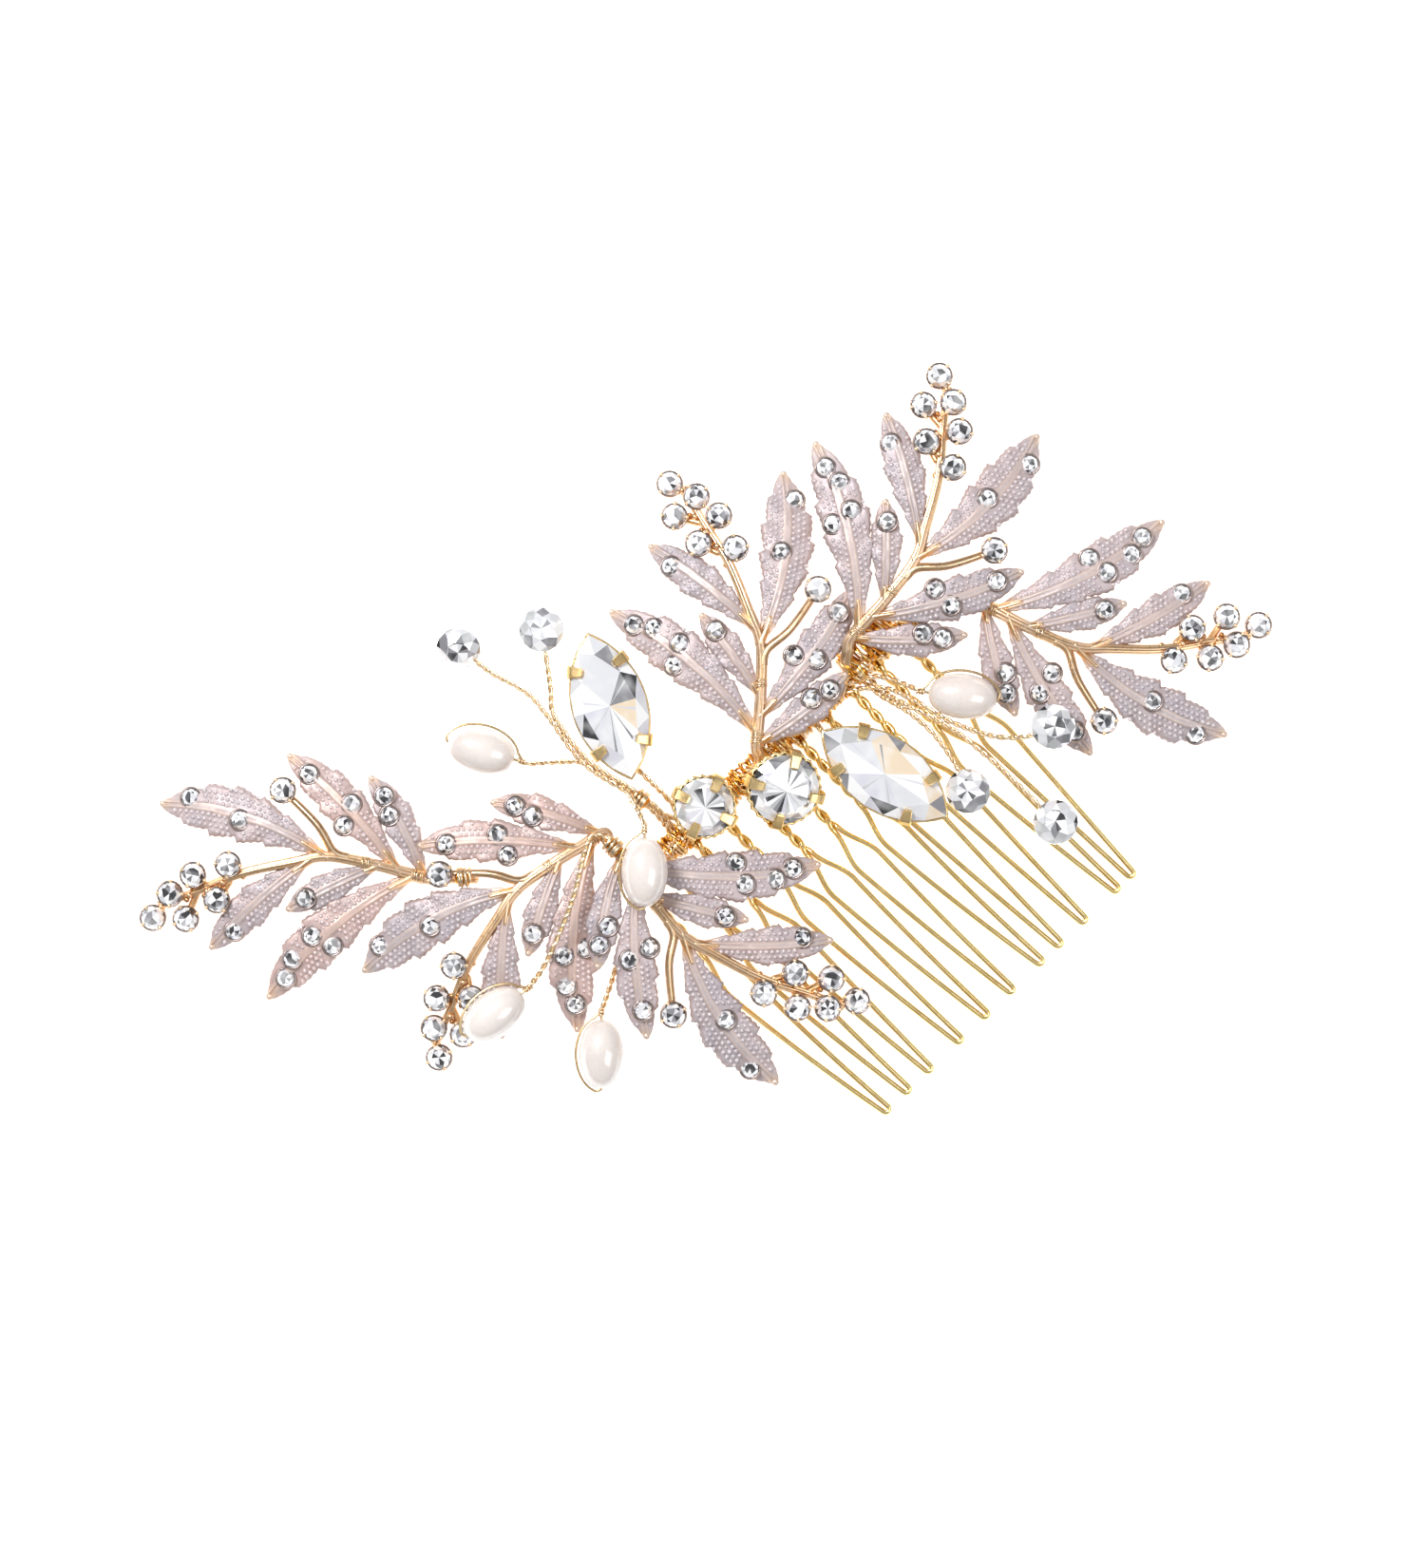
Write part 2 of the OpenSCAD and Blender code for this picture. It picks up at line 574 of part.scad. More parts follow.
crystal_hole_depth = 1.2;
function crystal_tilt(i) = [CRYSTALS[i - 1][1][0], CRYSTALS[i - 1][1][1], 0];
module crystal(i) {
    spec = CRYSTALS[i - 1];
    d = crystal_d;
    v = spec[2][0] - spec[0];
    color("lightgray")
        translate(spec[0])
            difference() {
                rotate(crystal_tilt(i))
                    rotate_extrude($fn = 32)
                        polygon([[0, -d * 0.3], [d * 0.32, -d * 0.22], [d / 2, -d * 0.04], [d / 2, d * 0.04],
                                 [d * 0.32, d * 0.22], [0, d * 0.22]]);
                rotate([0, acos(v[2] / norm(v)), atan2(v[1], v[0])])
                    translate([0, 0, d / 2 - crystal_hole_depth])
                        cylinder(d = twist_d + 0.1, h = 2 * crystal_hole_depth, $fn = 24);
            }
}

module crystal_wire(i) {
    spec = CRYSTALS[i - 1];
    v = unit(spec[2][0] - spec[0]);
    tip = spec[0] + v * (crystal_d / 2 - crystal_hole_depth + 0.1);
    color("gold")
        wire(concat([tip, spec[0] + v * (crystal_d / 2 + 0.2)], smooth(spec[2], 2)), twist_d);
}

/* Assembly */
translate(origin_shift) {
    for (i = [1 : tooth_count])
        tooth(i);
    spine_rod();
    spine_bindings();
    stem_ties();
    for (i = [1 : len(SPRAYS)]) {
        spray_casting(i);
        spray_stones(i);
    }
    for (i = [1 : len(MARQUISES)]) {
        marquise_setting(i);
        marquise_stone(i);
    }
    for (i = [1 : len(ROUNDS)]) {
        round_setting(i);
        round_stone(i);
    }
    for (i = [1 : len(PEARLS)]) {
        pearl(i);
        pearl_wire(i);
    }
    for (i = [1 : len(CRYSTALS)]) {
        crystal(i);
        crystal_wire(i);
    }
}
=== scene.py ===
"""Looks for the decorative hair comb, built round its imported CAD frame. Lengths are in millimetres."""
import random
from math import asin, atan2, cos, exp, hypot, pi, radians, sin, sqrt

import bmesh
import bpy
import numpy as np
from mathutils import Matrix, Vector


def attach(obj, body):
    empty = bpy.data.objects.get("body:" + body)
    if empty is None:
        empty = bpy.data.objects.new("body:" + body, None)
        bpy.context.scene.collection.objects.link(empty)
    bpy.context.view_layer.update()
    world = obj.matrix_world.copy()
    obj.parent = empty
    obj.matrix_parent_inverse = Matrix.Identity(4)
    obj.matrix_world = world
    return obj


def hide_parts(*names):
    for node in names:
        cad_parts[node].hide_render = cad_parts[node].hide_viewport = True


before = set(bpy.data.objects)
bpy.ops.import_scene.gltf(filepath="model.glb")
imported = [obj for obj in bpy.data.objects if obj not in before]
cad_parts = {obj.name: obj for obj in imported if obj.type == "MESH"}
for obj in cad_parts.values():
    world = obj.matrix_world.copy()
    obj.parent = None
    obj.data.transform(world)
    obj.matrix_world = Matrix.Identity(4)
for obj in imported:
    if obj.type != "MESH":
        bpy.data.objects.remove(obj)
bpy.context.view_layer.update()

MM = 0.001
ORIGIN_SHIFT = np.array([9.98, -3.52, -0.02])

# Design sizes, as in part.scad.
TOOTH_PITCH = 4.9
TOOTH_LENGTH = 45.4
SHANK = 12.9
COMB_WIRE = 0.7
LOOP_WIDTH = 3.7
SPINE_D = 1.4
SPINE_Z = 1.9
TOOTH_BOW = 0.8
FIRST_TOOTH_X = -27.4
SPINE_ENDS = (-29.0, 25.5)
TOOTH_LEANS = [3.4, 2.3, 1.5, 2.3, 2.3, 2.2, 2.8, 1.4, 1.1, 2.3, 0.2]
TIP_R = 0.5
SHANK_TURNS = 2.5
GAP = 0.02
HOOK_R = SPINE_D / 2 + COMB_WIRE / 2 + 2 * GAP
SPRAY_RISE = 1.3
SPRAY_PEAK = 13.0
LEAF_THICKNESS = 0.7
STEM_D = 1.5
LEAF_STONE = 2.7
CLUSTER_STONE = 3.4
ROUND_D = (8.0, 9.6)
MARQUISE = (20.0, 10.0)
CRYSTAL_D = 6.1
PEARL = (9.3, 6.2)
BORE_R = 0.21
STRAND_D = 0.3
ROOT_Z = 4.1
WIRE_Z = 2.95
WIRE_Z2 = 3.6
BESIDE = 0.32
BINDING_R = STEM_D / 2 + 0.1
BINDING_WALL = 0.5
BINDING_LENGTH = 3.2
SIDE_FALL = 0.009
LEAF_LIFT = 0.5
RIB_HEIGHT = 0.35
SEAT_RISE = -0.2
CUP_RISE = 0.9
CUP_HEIGHT = 1.1
MARQUISE_CUP = 2.8

# The casting that all six sprays share, in its own plane: the stem's line, then for each leaf its
# foot, tip, width, bow and number of lobes.
STEM = [(0, 0), (1.2, 3.2), (2.6, 7), (4.3, 13), (4, 18), (3.2, 25), (1.2, 32), (0.3, 36.4)]
LEAVES = [
    ((4.1, 15.5), (-6.3, 30), 5.2, 0.5, 5),
    ((2.4, 6.4), (-2.2, 19), 4.2, 0.2, 4),
    ((4.4, 13.4), (13.7, 34.7), 7, 1.8, 6),
    ((1.5, 3.8), (18.3, 16.8), 5.6, 0.9, 5),
    ((0.2, 0.4), (14.2, 6.1), 4.5, 0.6, 4),
    ((0.6, 1.6), (-13.8, 23), 6.6, 1.6, 6),
]
LEAF_STONES = [
    [(-4.4, 26.6)],
    [(-1, 16.5)],
    [(14.1, 30.7), (10.4, 24.3)],
    [(15.6, 14.4), (8.2, 10.4), (11, 9.1)],
    [(8.9, 4.2), (11.6, 4.6)],
    [(-11.4, 20.4), (-8.9, 19.2), (-6.1, 16.2), (-7.7, 13.6)],
]
CLUSTER = [(0, 28.5), (4.6, 26.5), (-2.1, 33), (3.7, 31.4), (-1.5, 37.5), (1.5, 34.8)]
SINGLE = (13.8, 18.1)
STALK_FOOT = (5, 12.2)
# Place, turn, droop and the way back to the rod.
SPRAYS = [
    ((-47, 20.4, 3.9), 52, 0, [(-44.6, 18.3, 4.9), (-42.1, 15.9, 5.4)]),
    ((-25.6, 8.3, 6.2), 97.5, 0, [(-25.9, 6.9, 5.9), (-25.9, 5, 5.4), (-24.6, 2.8, 4.8),
                                  (-22.6, 0.8, 4.3), (-21.2, 0, ROOT_Z), (-18.7, 0, ROOT_Z)]),
    ((-26, 4.8, 8.5), -168, 0, [(-25.95, 6, 7.9), (-25.9, 7.4, 7.6)]),
    ((-2.8, 2.4, 5.3), -28, 2.15, [(-3.5, 1, 4.8), (-4.8, 0.1, 4.2), (-7, 0, ROOT_Z)]),
    ((16.3, 4.1, 6.4), -65, 0, [(15, 3.2, 5.8), (14, 2.4, 5.2), (13.5, 1.5, 4.7), (13.6, 0.6, 4.3),
                                (14.3, 0, ROOT_Z), (16.1, 0, ROOT_Z)]),
    ((32.5, -4.8, 3.95), -140.5, 0, [(30.8, -2.8, 4.4), (28.6, -0.8, 4.2), (26.6, 0, ROOT_Z),
                                     (22.9, 0, ROOT_Z)]),
]
# Place, turn and stem. A round stone also has a lean, a pearl the side its loose strand is on, and a
# crystal two leans instead of a turn.
MARQUISES = [
    ((-13.2, 20, 4.6), 62.9, [(-16.5, 12.4, 5.1), (-16.2, 7, 4.6), (-16.4, 3, 3.6),
                              (-16.2, 0.8, 3.1), (-15.5, 0, WIRE_Z), (-13.5, 0, WIRE_Z)]),
    ((7.1, -12.2, 4), 101.9, [(5.2, -4.2, 4.5), (5.1, -1.8, 3.9), (5.6, -0.7, 3.2),
                              (5.1, 0, WIRE_Z), (2.9, 0, WIRE_Z)]),
]
ROUNDS = [
    ((-13.4, 1.7, 5.3), 20, 6, [(-13.4, 1.7, 5.5), (-11.9, 1.3, 4.3), (-11.1, 0.2, 3.1),
                                (-10.7, 0, WIRE_Z), (-8.7, 0, WIRE_Z)]),
    ((-4, -3.3, 5.8), 32, 18, [(-4, -3.3, 6), (-2.1, -2.4, 4.7), (-2, -0.8, 3.4),
                               (-1.5, 0, WIRE_Z), (0.9, 0, WIRE_Z)]),
]
PEARLS = [
    ((-29.8, 27.7, 6.5), -59, 1, [(-26.4, 22, 6.2), (-23.4, 19.4, 5.7), (-20.8, 16.5, 5.35),
        (-19.2, 10, 5.1), (-18.6, 6, 4.6), (-17.6, 3.4, 3.9), (-16.9, 1.3, 3.7),
        (-15.8, 0, WIRE_Z2), (-13.5, 0, WIRE_Z2)]),
    ((-25.2, 0.7, 13.6), 46, 1, [(-20.7, 5.6, 13), (-19.6, 9, 11), (-19.4, 10.9, 8.6),
        (-19, 9.7, 6.7), (-18.75, 6.9, 6.4)]),
    ((-53, 0.9, 10.8), -6, 1, [(-46.6, 0.4, 10.7), (-43, 1.2, 10.6), (-35, 4.6, 10.6),
        (-29.5, 8, 10.4), (-27.1, 9, 9.9), (-26, 8, 9.4), (-25.9, 6.8, 9.35), (-25.9, 5.2, 9.8)]),
    ((-46.4, -12.9, 7.6), 46, 1, [(-41.9, -8.5, 7.1), (-37.9, -6.4, 5.4), (-33, -3.4, 4),
        (-29.6, -1.2, 3.7), (-27.5, -0.1, 3.65), (-26.2, 0, 3), (-23.5, 0, WIRE_Z)]),
    ((21.9, -11.9, 7), 130, -1, [(18.2, -7.2, 6.6), (16.8, -4, 5.6), (15.4, -1.9, 4.9),
        (13.2, -0.6, 4.2), (11.3, 0.2, 3.5), (10.4, BESIDE, WIRE_Z), (7.8, BESIDE, WIRE_Z)]),
]
CRYSTALS = [
    ((-22.5, 39.7, 6.5), (18, -20), [(-21.5, 34, 6.3), (-20, 29, 6.1), (-20.2, 24.6, 6),
        (-21.1, 17, 6), (-19.5, 10, 6), (-18.8, 6, 5.6), (-19, 2.6, 4), (-19.2, 1.2, 3.2),
        (-19.8, 0.4, WIRE_Z), (-21.3, BESIDE, WIRE_Z)]),
    ((-12.7, 33.8, 6.5), (-4, 5), [(-15.3, 30, 6.3), (-17.5, 27, 6.1), (-19.5, 24.2, 6),
        (-20.4, 17, 6), (-18.85, 10, 6), (-18.15, 6, 5.6), (-18.35, 2.6, 4), (-18.45, 1, 3.2),
        (-19, -0.2, WIRE_Z), (-21.3, -BESIDE, WIRE_Z)]),
    ((27.8, -23.3, 8.3), (3, 6), [(24, -21.6, 8), (21.2, -18.7, 7.1), (18.6, -13.8, 6.4),
        (17, -8.4, 5.9), (15.6, -4.6, 5.1), (13.7, -2.4, 4.6), (11.6, -0.9, 3.7),
        (10.4, -BESIDE, WIRE_Z), (7.8, -BESIDE, WIRE_Z)]),
    ((13.6, -21.6, 6.5), (-6, -3), [(15, -17.4, 6.2), (15.6, -12.9, 6), (15.2, -8.4, 5.8),
        (14.2, -4.6, 4.6), (13.8, -1.8, 3.4), (13.6, -0.7, WIRE_Z), (13, -BESIDE, WIRE_Z),
        (12.7, -BESIDE, WIRE_Z)]),
    ((19.2, -32.8, 6.2), (-8, 4), [(19.1, -27, 6.2), (18.7, -20, 6.1), (17.8, -13.9, 6),
        (16, -8.4, 5.8), (14.8, -4.6, 4.8), (14.6, -1.8, 3.5), (14.5, -0.3, WIRE_Z),
        (13.9, BESIDE, WIRE_Z), (12.7, BESIDE, WIRE_Z)]),
]
# Bindings on the rod: X and the height of the upper wire. Ties: centre, turn and that height.
BINDINGS = [
    (-24.95, WIRE_Z), (-20.05, ROOT_Z), (-15.15, WIRE_Z2), (-10.25, WIRE_Z), (-5.35, ROOT_Z),
    (-0.45, WIRE_Z), (4.45, WIRE_Z), (9.35, WIRE_Z), (14.25, ROOT_Z), (19.15, WIRE_Z), (24, ROOT_Z),
]
TIES = [((-43.35, 17.1, 5.15), -44, 6.9), ((-25.9, 6, 5.65), 90, 9.4), ((-18.9, 8.1, 5.3), 97, 6.3)]

# Colours as linear red, green and blue, then how metallic the surface is.
ROSE_GOLD = (0.96, 0.73, 0.47, 1.0)
DEEP_COPPER = (0.44, 0.23, 0.10, 1.0)
# Dark brown for the leaves' worn edges, also used as painted shade in their folds and beside the midrib.
WORN_EDGE_AND_SHADE = (0.40, 0.30, 0.28, 0.5)
AMBER = (0.74, 0.33, 0.05, 1.0)
YELLOW_GOLD = (0.95, 0.75, 0.36, 1.0)
CHAMPAGNE = (0.90, 0.73, 0.50, 1.0)
PALE_GOLD = (0.88, 0.66, 0.33, 1.0)
DARK_SILVER = (0.20, 0.17, 0.16, 1.0)
ENAMELS = [(0.43, 0.385, 0.405, 0.2), (0.47, 0.405, 0.415, 0.2), (0.55, 0.42, 0.395, 0.25)]
# Tones for the stones' facets, which stand for painted reflections and glints.
WHITE = (0.95, 0.955, 0.97, 0.2)
PALE = (0.78, 0.79, 0.83, 0.3)
LAVENDER = (0.72, 0.72, 0.80, 0.3)
GREY = (0.34, 0.34, 0.37, 0.5)
DARK = (0.05, 0.05, 0.055, 0.5)
PEACH = (0.90, 0.74, 0.55, 0.3)
SMOKE = (0.55, 0.56, 0.57, 0.3)

# Radii of the fine wires that are wound by hand.
COIL_R = 0.23
LOOSE_R = 0.17
BRIDGE_R = 0.15
NET_R = 0.16
KNOT_R = 0.13
# The share of its seat that a small stone fills.
LEAF_STONE_SHARE = 0.88
CLUSTER_STONE_SHARE = 0.93


def linked(name, data):
    obj = bpy.data.objects.new(name, data)
    bpy.context.scene.collection.objects.link(obj)
    return obj


def arr(p):
    return np.asarray(p, float)


def circle(n):
    return [2 * pi * k / n for k in range(n)]


def unit(v):
    return v / (np.linalg.norm(v) + 1e-12)


def smooth(pts, steps):
    """A curve through the points, with so many steps between each two."""
    pts = [arr(p) for p in pts]
    last = len(pts) - 1
    out = []
    for i in range(last):
        a, b, c, d = pts[max(i - 1, 0)], pts[i], pts[i + 1], pts[min(i + 2, last)]
        for k in range(steps):
            t = k / steps
            out.append((2 * b + (c - a) * t + (2 * a - 5 * b + 4 * c - d) * t * t
                        + (3 * b - a - 3 * c + d) * t ** 3) / 2)
    out.append(pts[last])
    return np.array(out)


def resample(pts, step):
    """The same path with even steps, and how far along it each point is."""
    pts = arr(pts)
    seg = np.linalg.norm(np.diff(pts, axis=0), axis=1)
    s = np.concatenate([[0], np.cumsum(seg)])
    n = max(2, int(round(s[-1] / step)) + 1)
    at = np.linspace(0, s[-1], n)
    return np.stack([np.interp(at, s, pts[:, k]) for k in range(3)], 1), at


def frames(pts, first=(0, 0, 1)):
    """Two directions at each point of a path, square to it and to each other, that don't twist."""
    pts = arr(pts)
    tans = np.gradient(pts, axis=0)
    tans /= np.linalg.norm(tans, axis=1)[:, None] + 1e-12
    n = arr(first)
    norms = []
    for t in tans:
        n = unit(n - n.dot(t) * t)
        norms.append(n)
    norms = np.array(norms)
    return norms, np.cross(tans, norms)


class Build:
    """Collects closed pieces of mesh with a colour for each corner."""

    def __init__(self):
        self.verts = []
        self.faces = []
        self.tones = []
        self.smooth = []
        self.count = 0

    def add(self, verts, faces, tone, smooth_faces=True):
        """tone is one colour, one for each vertex, or one for each face."""
        tone = arr(tone)
        per_vert = tone.ndim == 2 and len(tone) == len(verts)
        for k, f in enumerate(faces):
            self.faces.append([self.count + i for i in f])
            if per_vert:
                self.tones.extend(tone[i] for i in f)
            else:
                self.tones.extend([tone if tone.ndim == 1 else tone[k]] * len(f))
        self.smooth.extend([smooth_faces] * len(faces))
        self.verts.append(arr(verts))
        self.count += len(verts)

    def make(self, name, material, slot, node, body="comb"):
        """Makes the object and says what it rides on, what it is made of and what it replaces."""
        co = (np.concatenate(self.verts) + ORIGIN_SHIFT) * MM
        co[:, 2] = np.maximum(co[:, 2], 0.0)
        me = bpy.data.meshes.new(name)
        me.from_pydata(co.tolist(), [], self.faces)
        me.polygons.foreach_set("use_smooth", self.smooth)
        tone = me.attributes.new("tone", "FLOAT_COLOR", "CORNER")
        tone.data.foreach_set("color", np.array(self.tones, np.float32).ravel())
        me.materials.append(material)
        me.validate()
        bm = bmesh.new()
        bm.from_mesh(me)
        bmesh.ops.recalc_face_normals(bm, faces=bm.faces)
        bm.to_mesh(me)
        bm.free()
        me.update()
        obj = linked(name, me)
        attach(obj, body)
        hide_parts(node)


def skin_faces(rings, n, joined=False):
    """Quads between rings of n points. The ends are capped, or joined to each other."""
    faces = []
    for i in range(rings if joined else rings - 1):
        j = (i + 1) % rings
        for k in range(n):
            k2 = (k + 1) % n
            faces.append((i * n + k, i * n + k2, j * n + k2, j * n + k))
    if not joined:
        faces.append(tuple(range(n - 1, -1, -1)))
        faces.append(tuple((rings - 1) * n + k for k in range(n)))
    return faces


def sweep(b, path, radius, sides, tone, first=(0, 0, 1), ridges=0, ridge_depth=0.0, taper_ends=True):
    """A round wire or stem along a path, with rounded ends and optional lengthwise ridges. Its underside
    and the grooves between its ridges are darkened as painted shade.
    """
    path = arr(path)
    radius = np.broadcast_to(arr(radius), (len(path),)).copy()
    tone = arr(tone)
    if taper_ends:
        r0, r1 = radius[0], radius[-1]
        t0, t1 = unit(path[0] - path[1]), unit(path[-1] - path[-2])
        path = np.concatenate([[path[0] + t0 * r0 * 0.45], [path[0] + t0 * r0 * 0.3], path,
                               [path[-1] + t1 * r1 * 0.3], [path[-1] + t1 * r1 * 0.45]])
        radius = np.concatenate([[r0 * 0.35, r0 * 0.8], radius, [r1 * 0.8, r1 * 0.35]])
        if tone.ndim == 2:
            tone = np.concatenate([tone[:1], tone[:1], tone, tone[-1:], tone[-1:]])
    n, bi = frames(path, first)
    ang = arr(circle(sides))
    shape = 1 + ridge_depth * np.cos(ridges * ang) if ridges else np.ones(sides)
    co = path[:, None, :] + radius[:, None, None] * shape[None, :, None] * (
        np.cos(ang)[None, :, None] * n[:, None, :] + np.sin(ang)[None, :, None] * bi[:, None, :])
    if tone.ndim == 1:
        tone = np.tile(tone, (len(path), 1))
    tone = np.repeat(tone, sides, axis=0)
    # Painted shade: points that face down, and the grooves between the ridges, are mixed towards a
    # duller, browner tone.
    up = (np.cos(ang)[None, :] * n[:, 2:] + np.sin(ang)[None, :] * bi[:, 2:]).reshape(-1, 1)
    painted_shade = np.clip((0.75 - up) / 0.9, 0, 1) * 0.62
    if ridges:
        groove_shade = np.tile(0.5 - 0.5 * np.cos(ridges * ang), len(path))[:, None] * 0.8
        painted_shade = np.maximum(painted_shade * 0.7, groove_shade)
    shade_tone = tone * [0.72, 0.54, 0.34, 1]
    tone = tone * (1 - painted_shade) + shade_tone * painted_shade
    faces = [f[::-1] for f in skin_faces(len(path), sides)]
    b.add(co.reshape(-1, 3), faces, tone)


def twisted_pair(b, path, tone, strand_r=0.205, offset=0.185, pitch=2.6, sides=9, phase=0.0):
    """Two fine wires twisted together along a path."""
    pts, s = resample(path, 0.17)
    n, bi = frames(pts)
    wave = 1 + 0.18 * np.sin(s * 1.7 + phase) + 0.10 * np.sin(s * 0.63 + 2 * phase)
    turn = 2 * pi * np.cumsum(np.gradient(s) / pitch * wave) + phase
    for k in (0, pi):
        centre = pts + offset * (np.cos(turn + k)[:, None] * n + np.sin(turn + k)[:, None] * bi)
        sweep(b, centre, strand_r, sides, tone)


def unit_dome(n=8, levels=(0, 35, 65)):
    """Half a ball of radius 1 with a flat bottom, for the grains on the leaves."""
    verts = []
    for a in np.radians(levels):
        verts += [(cos(a) * cos(t), cos(a) * sin(t), sin(a)) for t in circle(n)]
    verts.append((0, 0, 1))
    faces = skin_faces(len(levels), n)
    last = faces.pop()
    faces += [(a, b, len(verts) - 1) for a, b in zip(last, last[1:] + last[:1])]
    return np.array(verts), faces


DOME = unit_dome()


def ball(b, centre, r, tone, squash=1.0, n=12, m=7):
    verts = []
    for i in range(1, m):
        a = pi * i / m
        verts += [(sin(a) * cos(t), sin(a) * sin(t), cos(a) * squash) for t in circle(n)]
    top, bottom = len(verts), len(verts) + 1
    verts += [(0, 0, squash), (0, 0, -squash)]
    faces = []
    for i in range(m - 2):
        for k in range(n):
            p, q = i * n + k, i * n + (k + 1) % n
            faces.append((p, p + n, q + n, q))
    for k in range(n):
        faces.append((top, k, (k + 1) % n))
        faces.append((bottom, (m - 2) * n + (k + 1) % n, (m - 2) * n + k))
    b.add(arr(centre) + r * np.array(verts), faces, tone)


def revolve(b, place, profile, tone, n=20, flutes=0, flute_depth=0.0):
    """A closed profile of (radius, height, share of the flutes' depth) turned about Z."""
    ang = arr(circle(n))
    wave = flute_depth * np.cos(flutes * ang)
    rings = []
    for r, z, *grip in profile:
        w = 1 + wave * (grip[0] if grip else 1)
        rings.append(np.stack([r * w * np.cos(ang), r * w * np.sin(ang), np.full(n, z)], 1))
    tone = arr(tone)
    if tone.ndim == 2:
        tone = np.repeat(tone, n, axis=0)
    b.add(place(np.concatenate(rings)), skin_faces(len(profile), n, joined=True), tone)


def turned(axis, degrees):
    """The matrix of a turn about X, Y or Z."""
    a = radians(degrees)
    i, j = (axis + 1) % 3, (axis + 2) % 3
    m = np.eye(3)
    m[i, i] = m[j, j] = cos(a)
    m[i, j], m[j, i] = -sin(a), sin(a)
    return m


def stander(place, turn, droop=0.0):
    """The move that part.scad's stand() makes."""
    m = turned(2, turn) @ turned(0, -droop)
    at = arr(place)
    return lambda v: arr(v) @ m.T + at


# Materials


def nodes_of(name, **constants):
    """A new material, with constants put on the shader's sockets."""
    mat = bpy.data.materials.new(name)
    mat.use_nodes = True
    nt = mat.node_tree
    bsdf = nt.nodes["Principled BSDF"]
    for socket, value in constants.items():
        bsdf.inputs[socket.replace("_", " ")].default_value = value
    return mat, nt, bsdf


def noise(nt, scale, detail):
    coord = nt.nodes.new("ShaderNodeTexCoord")
    tex = nt.nodes.new("ShaderNodeTexNoise")
    tex.inputs["Scale"].default_value = scale
    tex.inputs["Detail"].default_value = detail
    tex.inputs["Roughness"].default_value = 0.55
    nt.links.new(coord.outputs["Object"], tex.inputs["Vector"])
    return tex.outputs["Fac"]


def remap(nt, value, low, high, start, end):
    node = nt.nodes.new("ShaderNodeMapRange")
    for socket, bound in (("From Min", start), ("From Max", end), ("To Min", low), ("To Max", high)):
        node.inputs[socket].default_value = bound
    nt.links.new(value, node.inputs["Value"])
    return node.outputs["Result"]


def cloud(nt, scale, detail, low, high, start=0.3, end=0.7):
    return remap(nt, noise(nt, scale, detail), low, high, start, end)


def blend(nt, fac, a, b, mode="MIX"):
    node = nt.nodes.new("ShaderNodeMix")
    node.data_type = "RGBA"
    node.blend_type = mode
    for socket, value in ((node.inputs[0], fac), (node.inputs[6], a), (node.inputs[7], b)):
        if isinstance(value, bpy.types.NodeSocket):
            nt.links.new(value, socket)
        else:
            socket.default_value = value
    return node.outputs[2]


def bump(nt, bsdf, height, strength, distance):
    node = nt.nodes.new("ShaderNodeBump")
    node.inputs["Strength"].default_value = strength
    node.inputs["Distance"].default_value = distance
    nt.links.new(height, node.inputs["Height"])
    nt.links.new(node.outputs["Normal"], bsdf.inputs["Normal"])


def tone_of(nt):
    node = nt.nodes.new("ShaderNodeAttribute")
    node.attribute_name = "tone"
    return node.outputs["Color"], node.outputs["Alpha"]


def metal_material(name, worn, rough=(0.16, 0.32)):
    mat, nt, bsdf = nodes_of(name, Metallic=1.0, Specular_Tint=(0.76, 0.62, 0.38, 1))
    colour = tone_of(nt)[0]
    spots = cloud(nt, 160, 3, 0.0, 0.45, 0.4, 0.68)
    nt.links.new(blend(nt, spots, colour, worn, "MULTIPLY"), bsdf.inputs["Base Color"])
    nt.links.new(cloud(nt, 700, 3, *rough), bsdf.inputs["Roughness"])
    bump(nt, bsdf, noise(nt, 1300, 2), 0.05, 0.00005)
    return mat


def casting_material():
    mat, nt, bsdf = nodes_of("enamelled_casting", Coat_Weight=0.08, Coat_Roughness=0.3)
    colour, metal = tone_of(nt)
    patches = cloud(nt, 260, 4, 0.0, 1.0, 0.35, 0.7)
    tint = blend(nt, patches, (0.92, 0.92, 0.95, 1), (1.06, 1.0, 0.98, 1))
    body = blend(nt, 1.0, colour, tint, "MULTIPLY")
    speck = cloud(nt, 2400, 2, 0.0, 0.25, 0.5, 0.72)
    nt.links.new(blend(nt, speck, body, (0.78, 0.70, 0.68, 1)), bsdf.inputs["Base Color"])
    nt.links.new(metal, bsdf.inputs["Metallic"])
    satin = remap(nt, metal, 0.44, 0.24, 0.2, 0.9)
    grain = cloud(nt, 1300, 3, 0.0, 0.16)
    nt.links.new(blend(nt, 1.0, satin, grain, "ADD"), bsdf.inputs["Roughness"])
    bump(nt, bsdf, noise(nt, 1100, 3), 0.12, 0.0001)
    return mat


def stone_material(name, rough):
    mat, nt, bsdf = nodes_of(name, Coat_Weight=1.0, Coat_Roughness=0.02, Coat_IOR=1.6)
    colour, metal = tone_of(nt)
    glint = cloud(nt, 380, 1, 0.0, 0.5, 0.45, 0.7)
    lit = blend(nt, glint, colour, (0.95, 0.96, 0.98, 1), "SCREEN")
    nt.links.new(lit, bsdf.inputs["Base Color"])
    nt.links.new(metal, bsdf.inputs["Metallic"])
    nt.links.new(cloud(nt, 900, 2, rough * 0.6, rough), bsdf.inputs["Roughness"])
    return mat


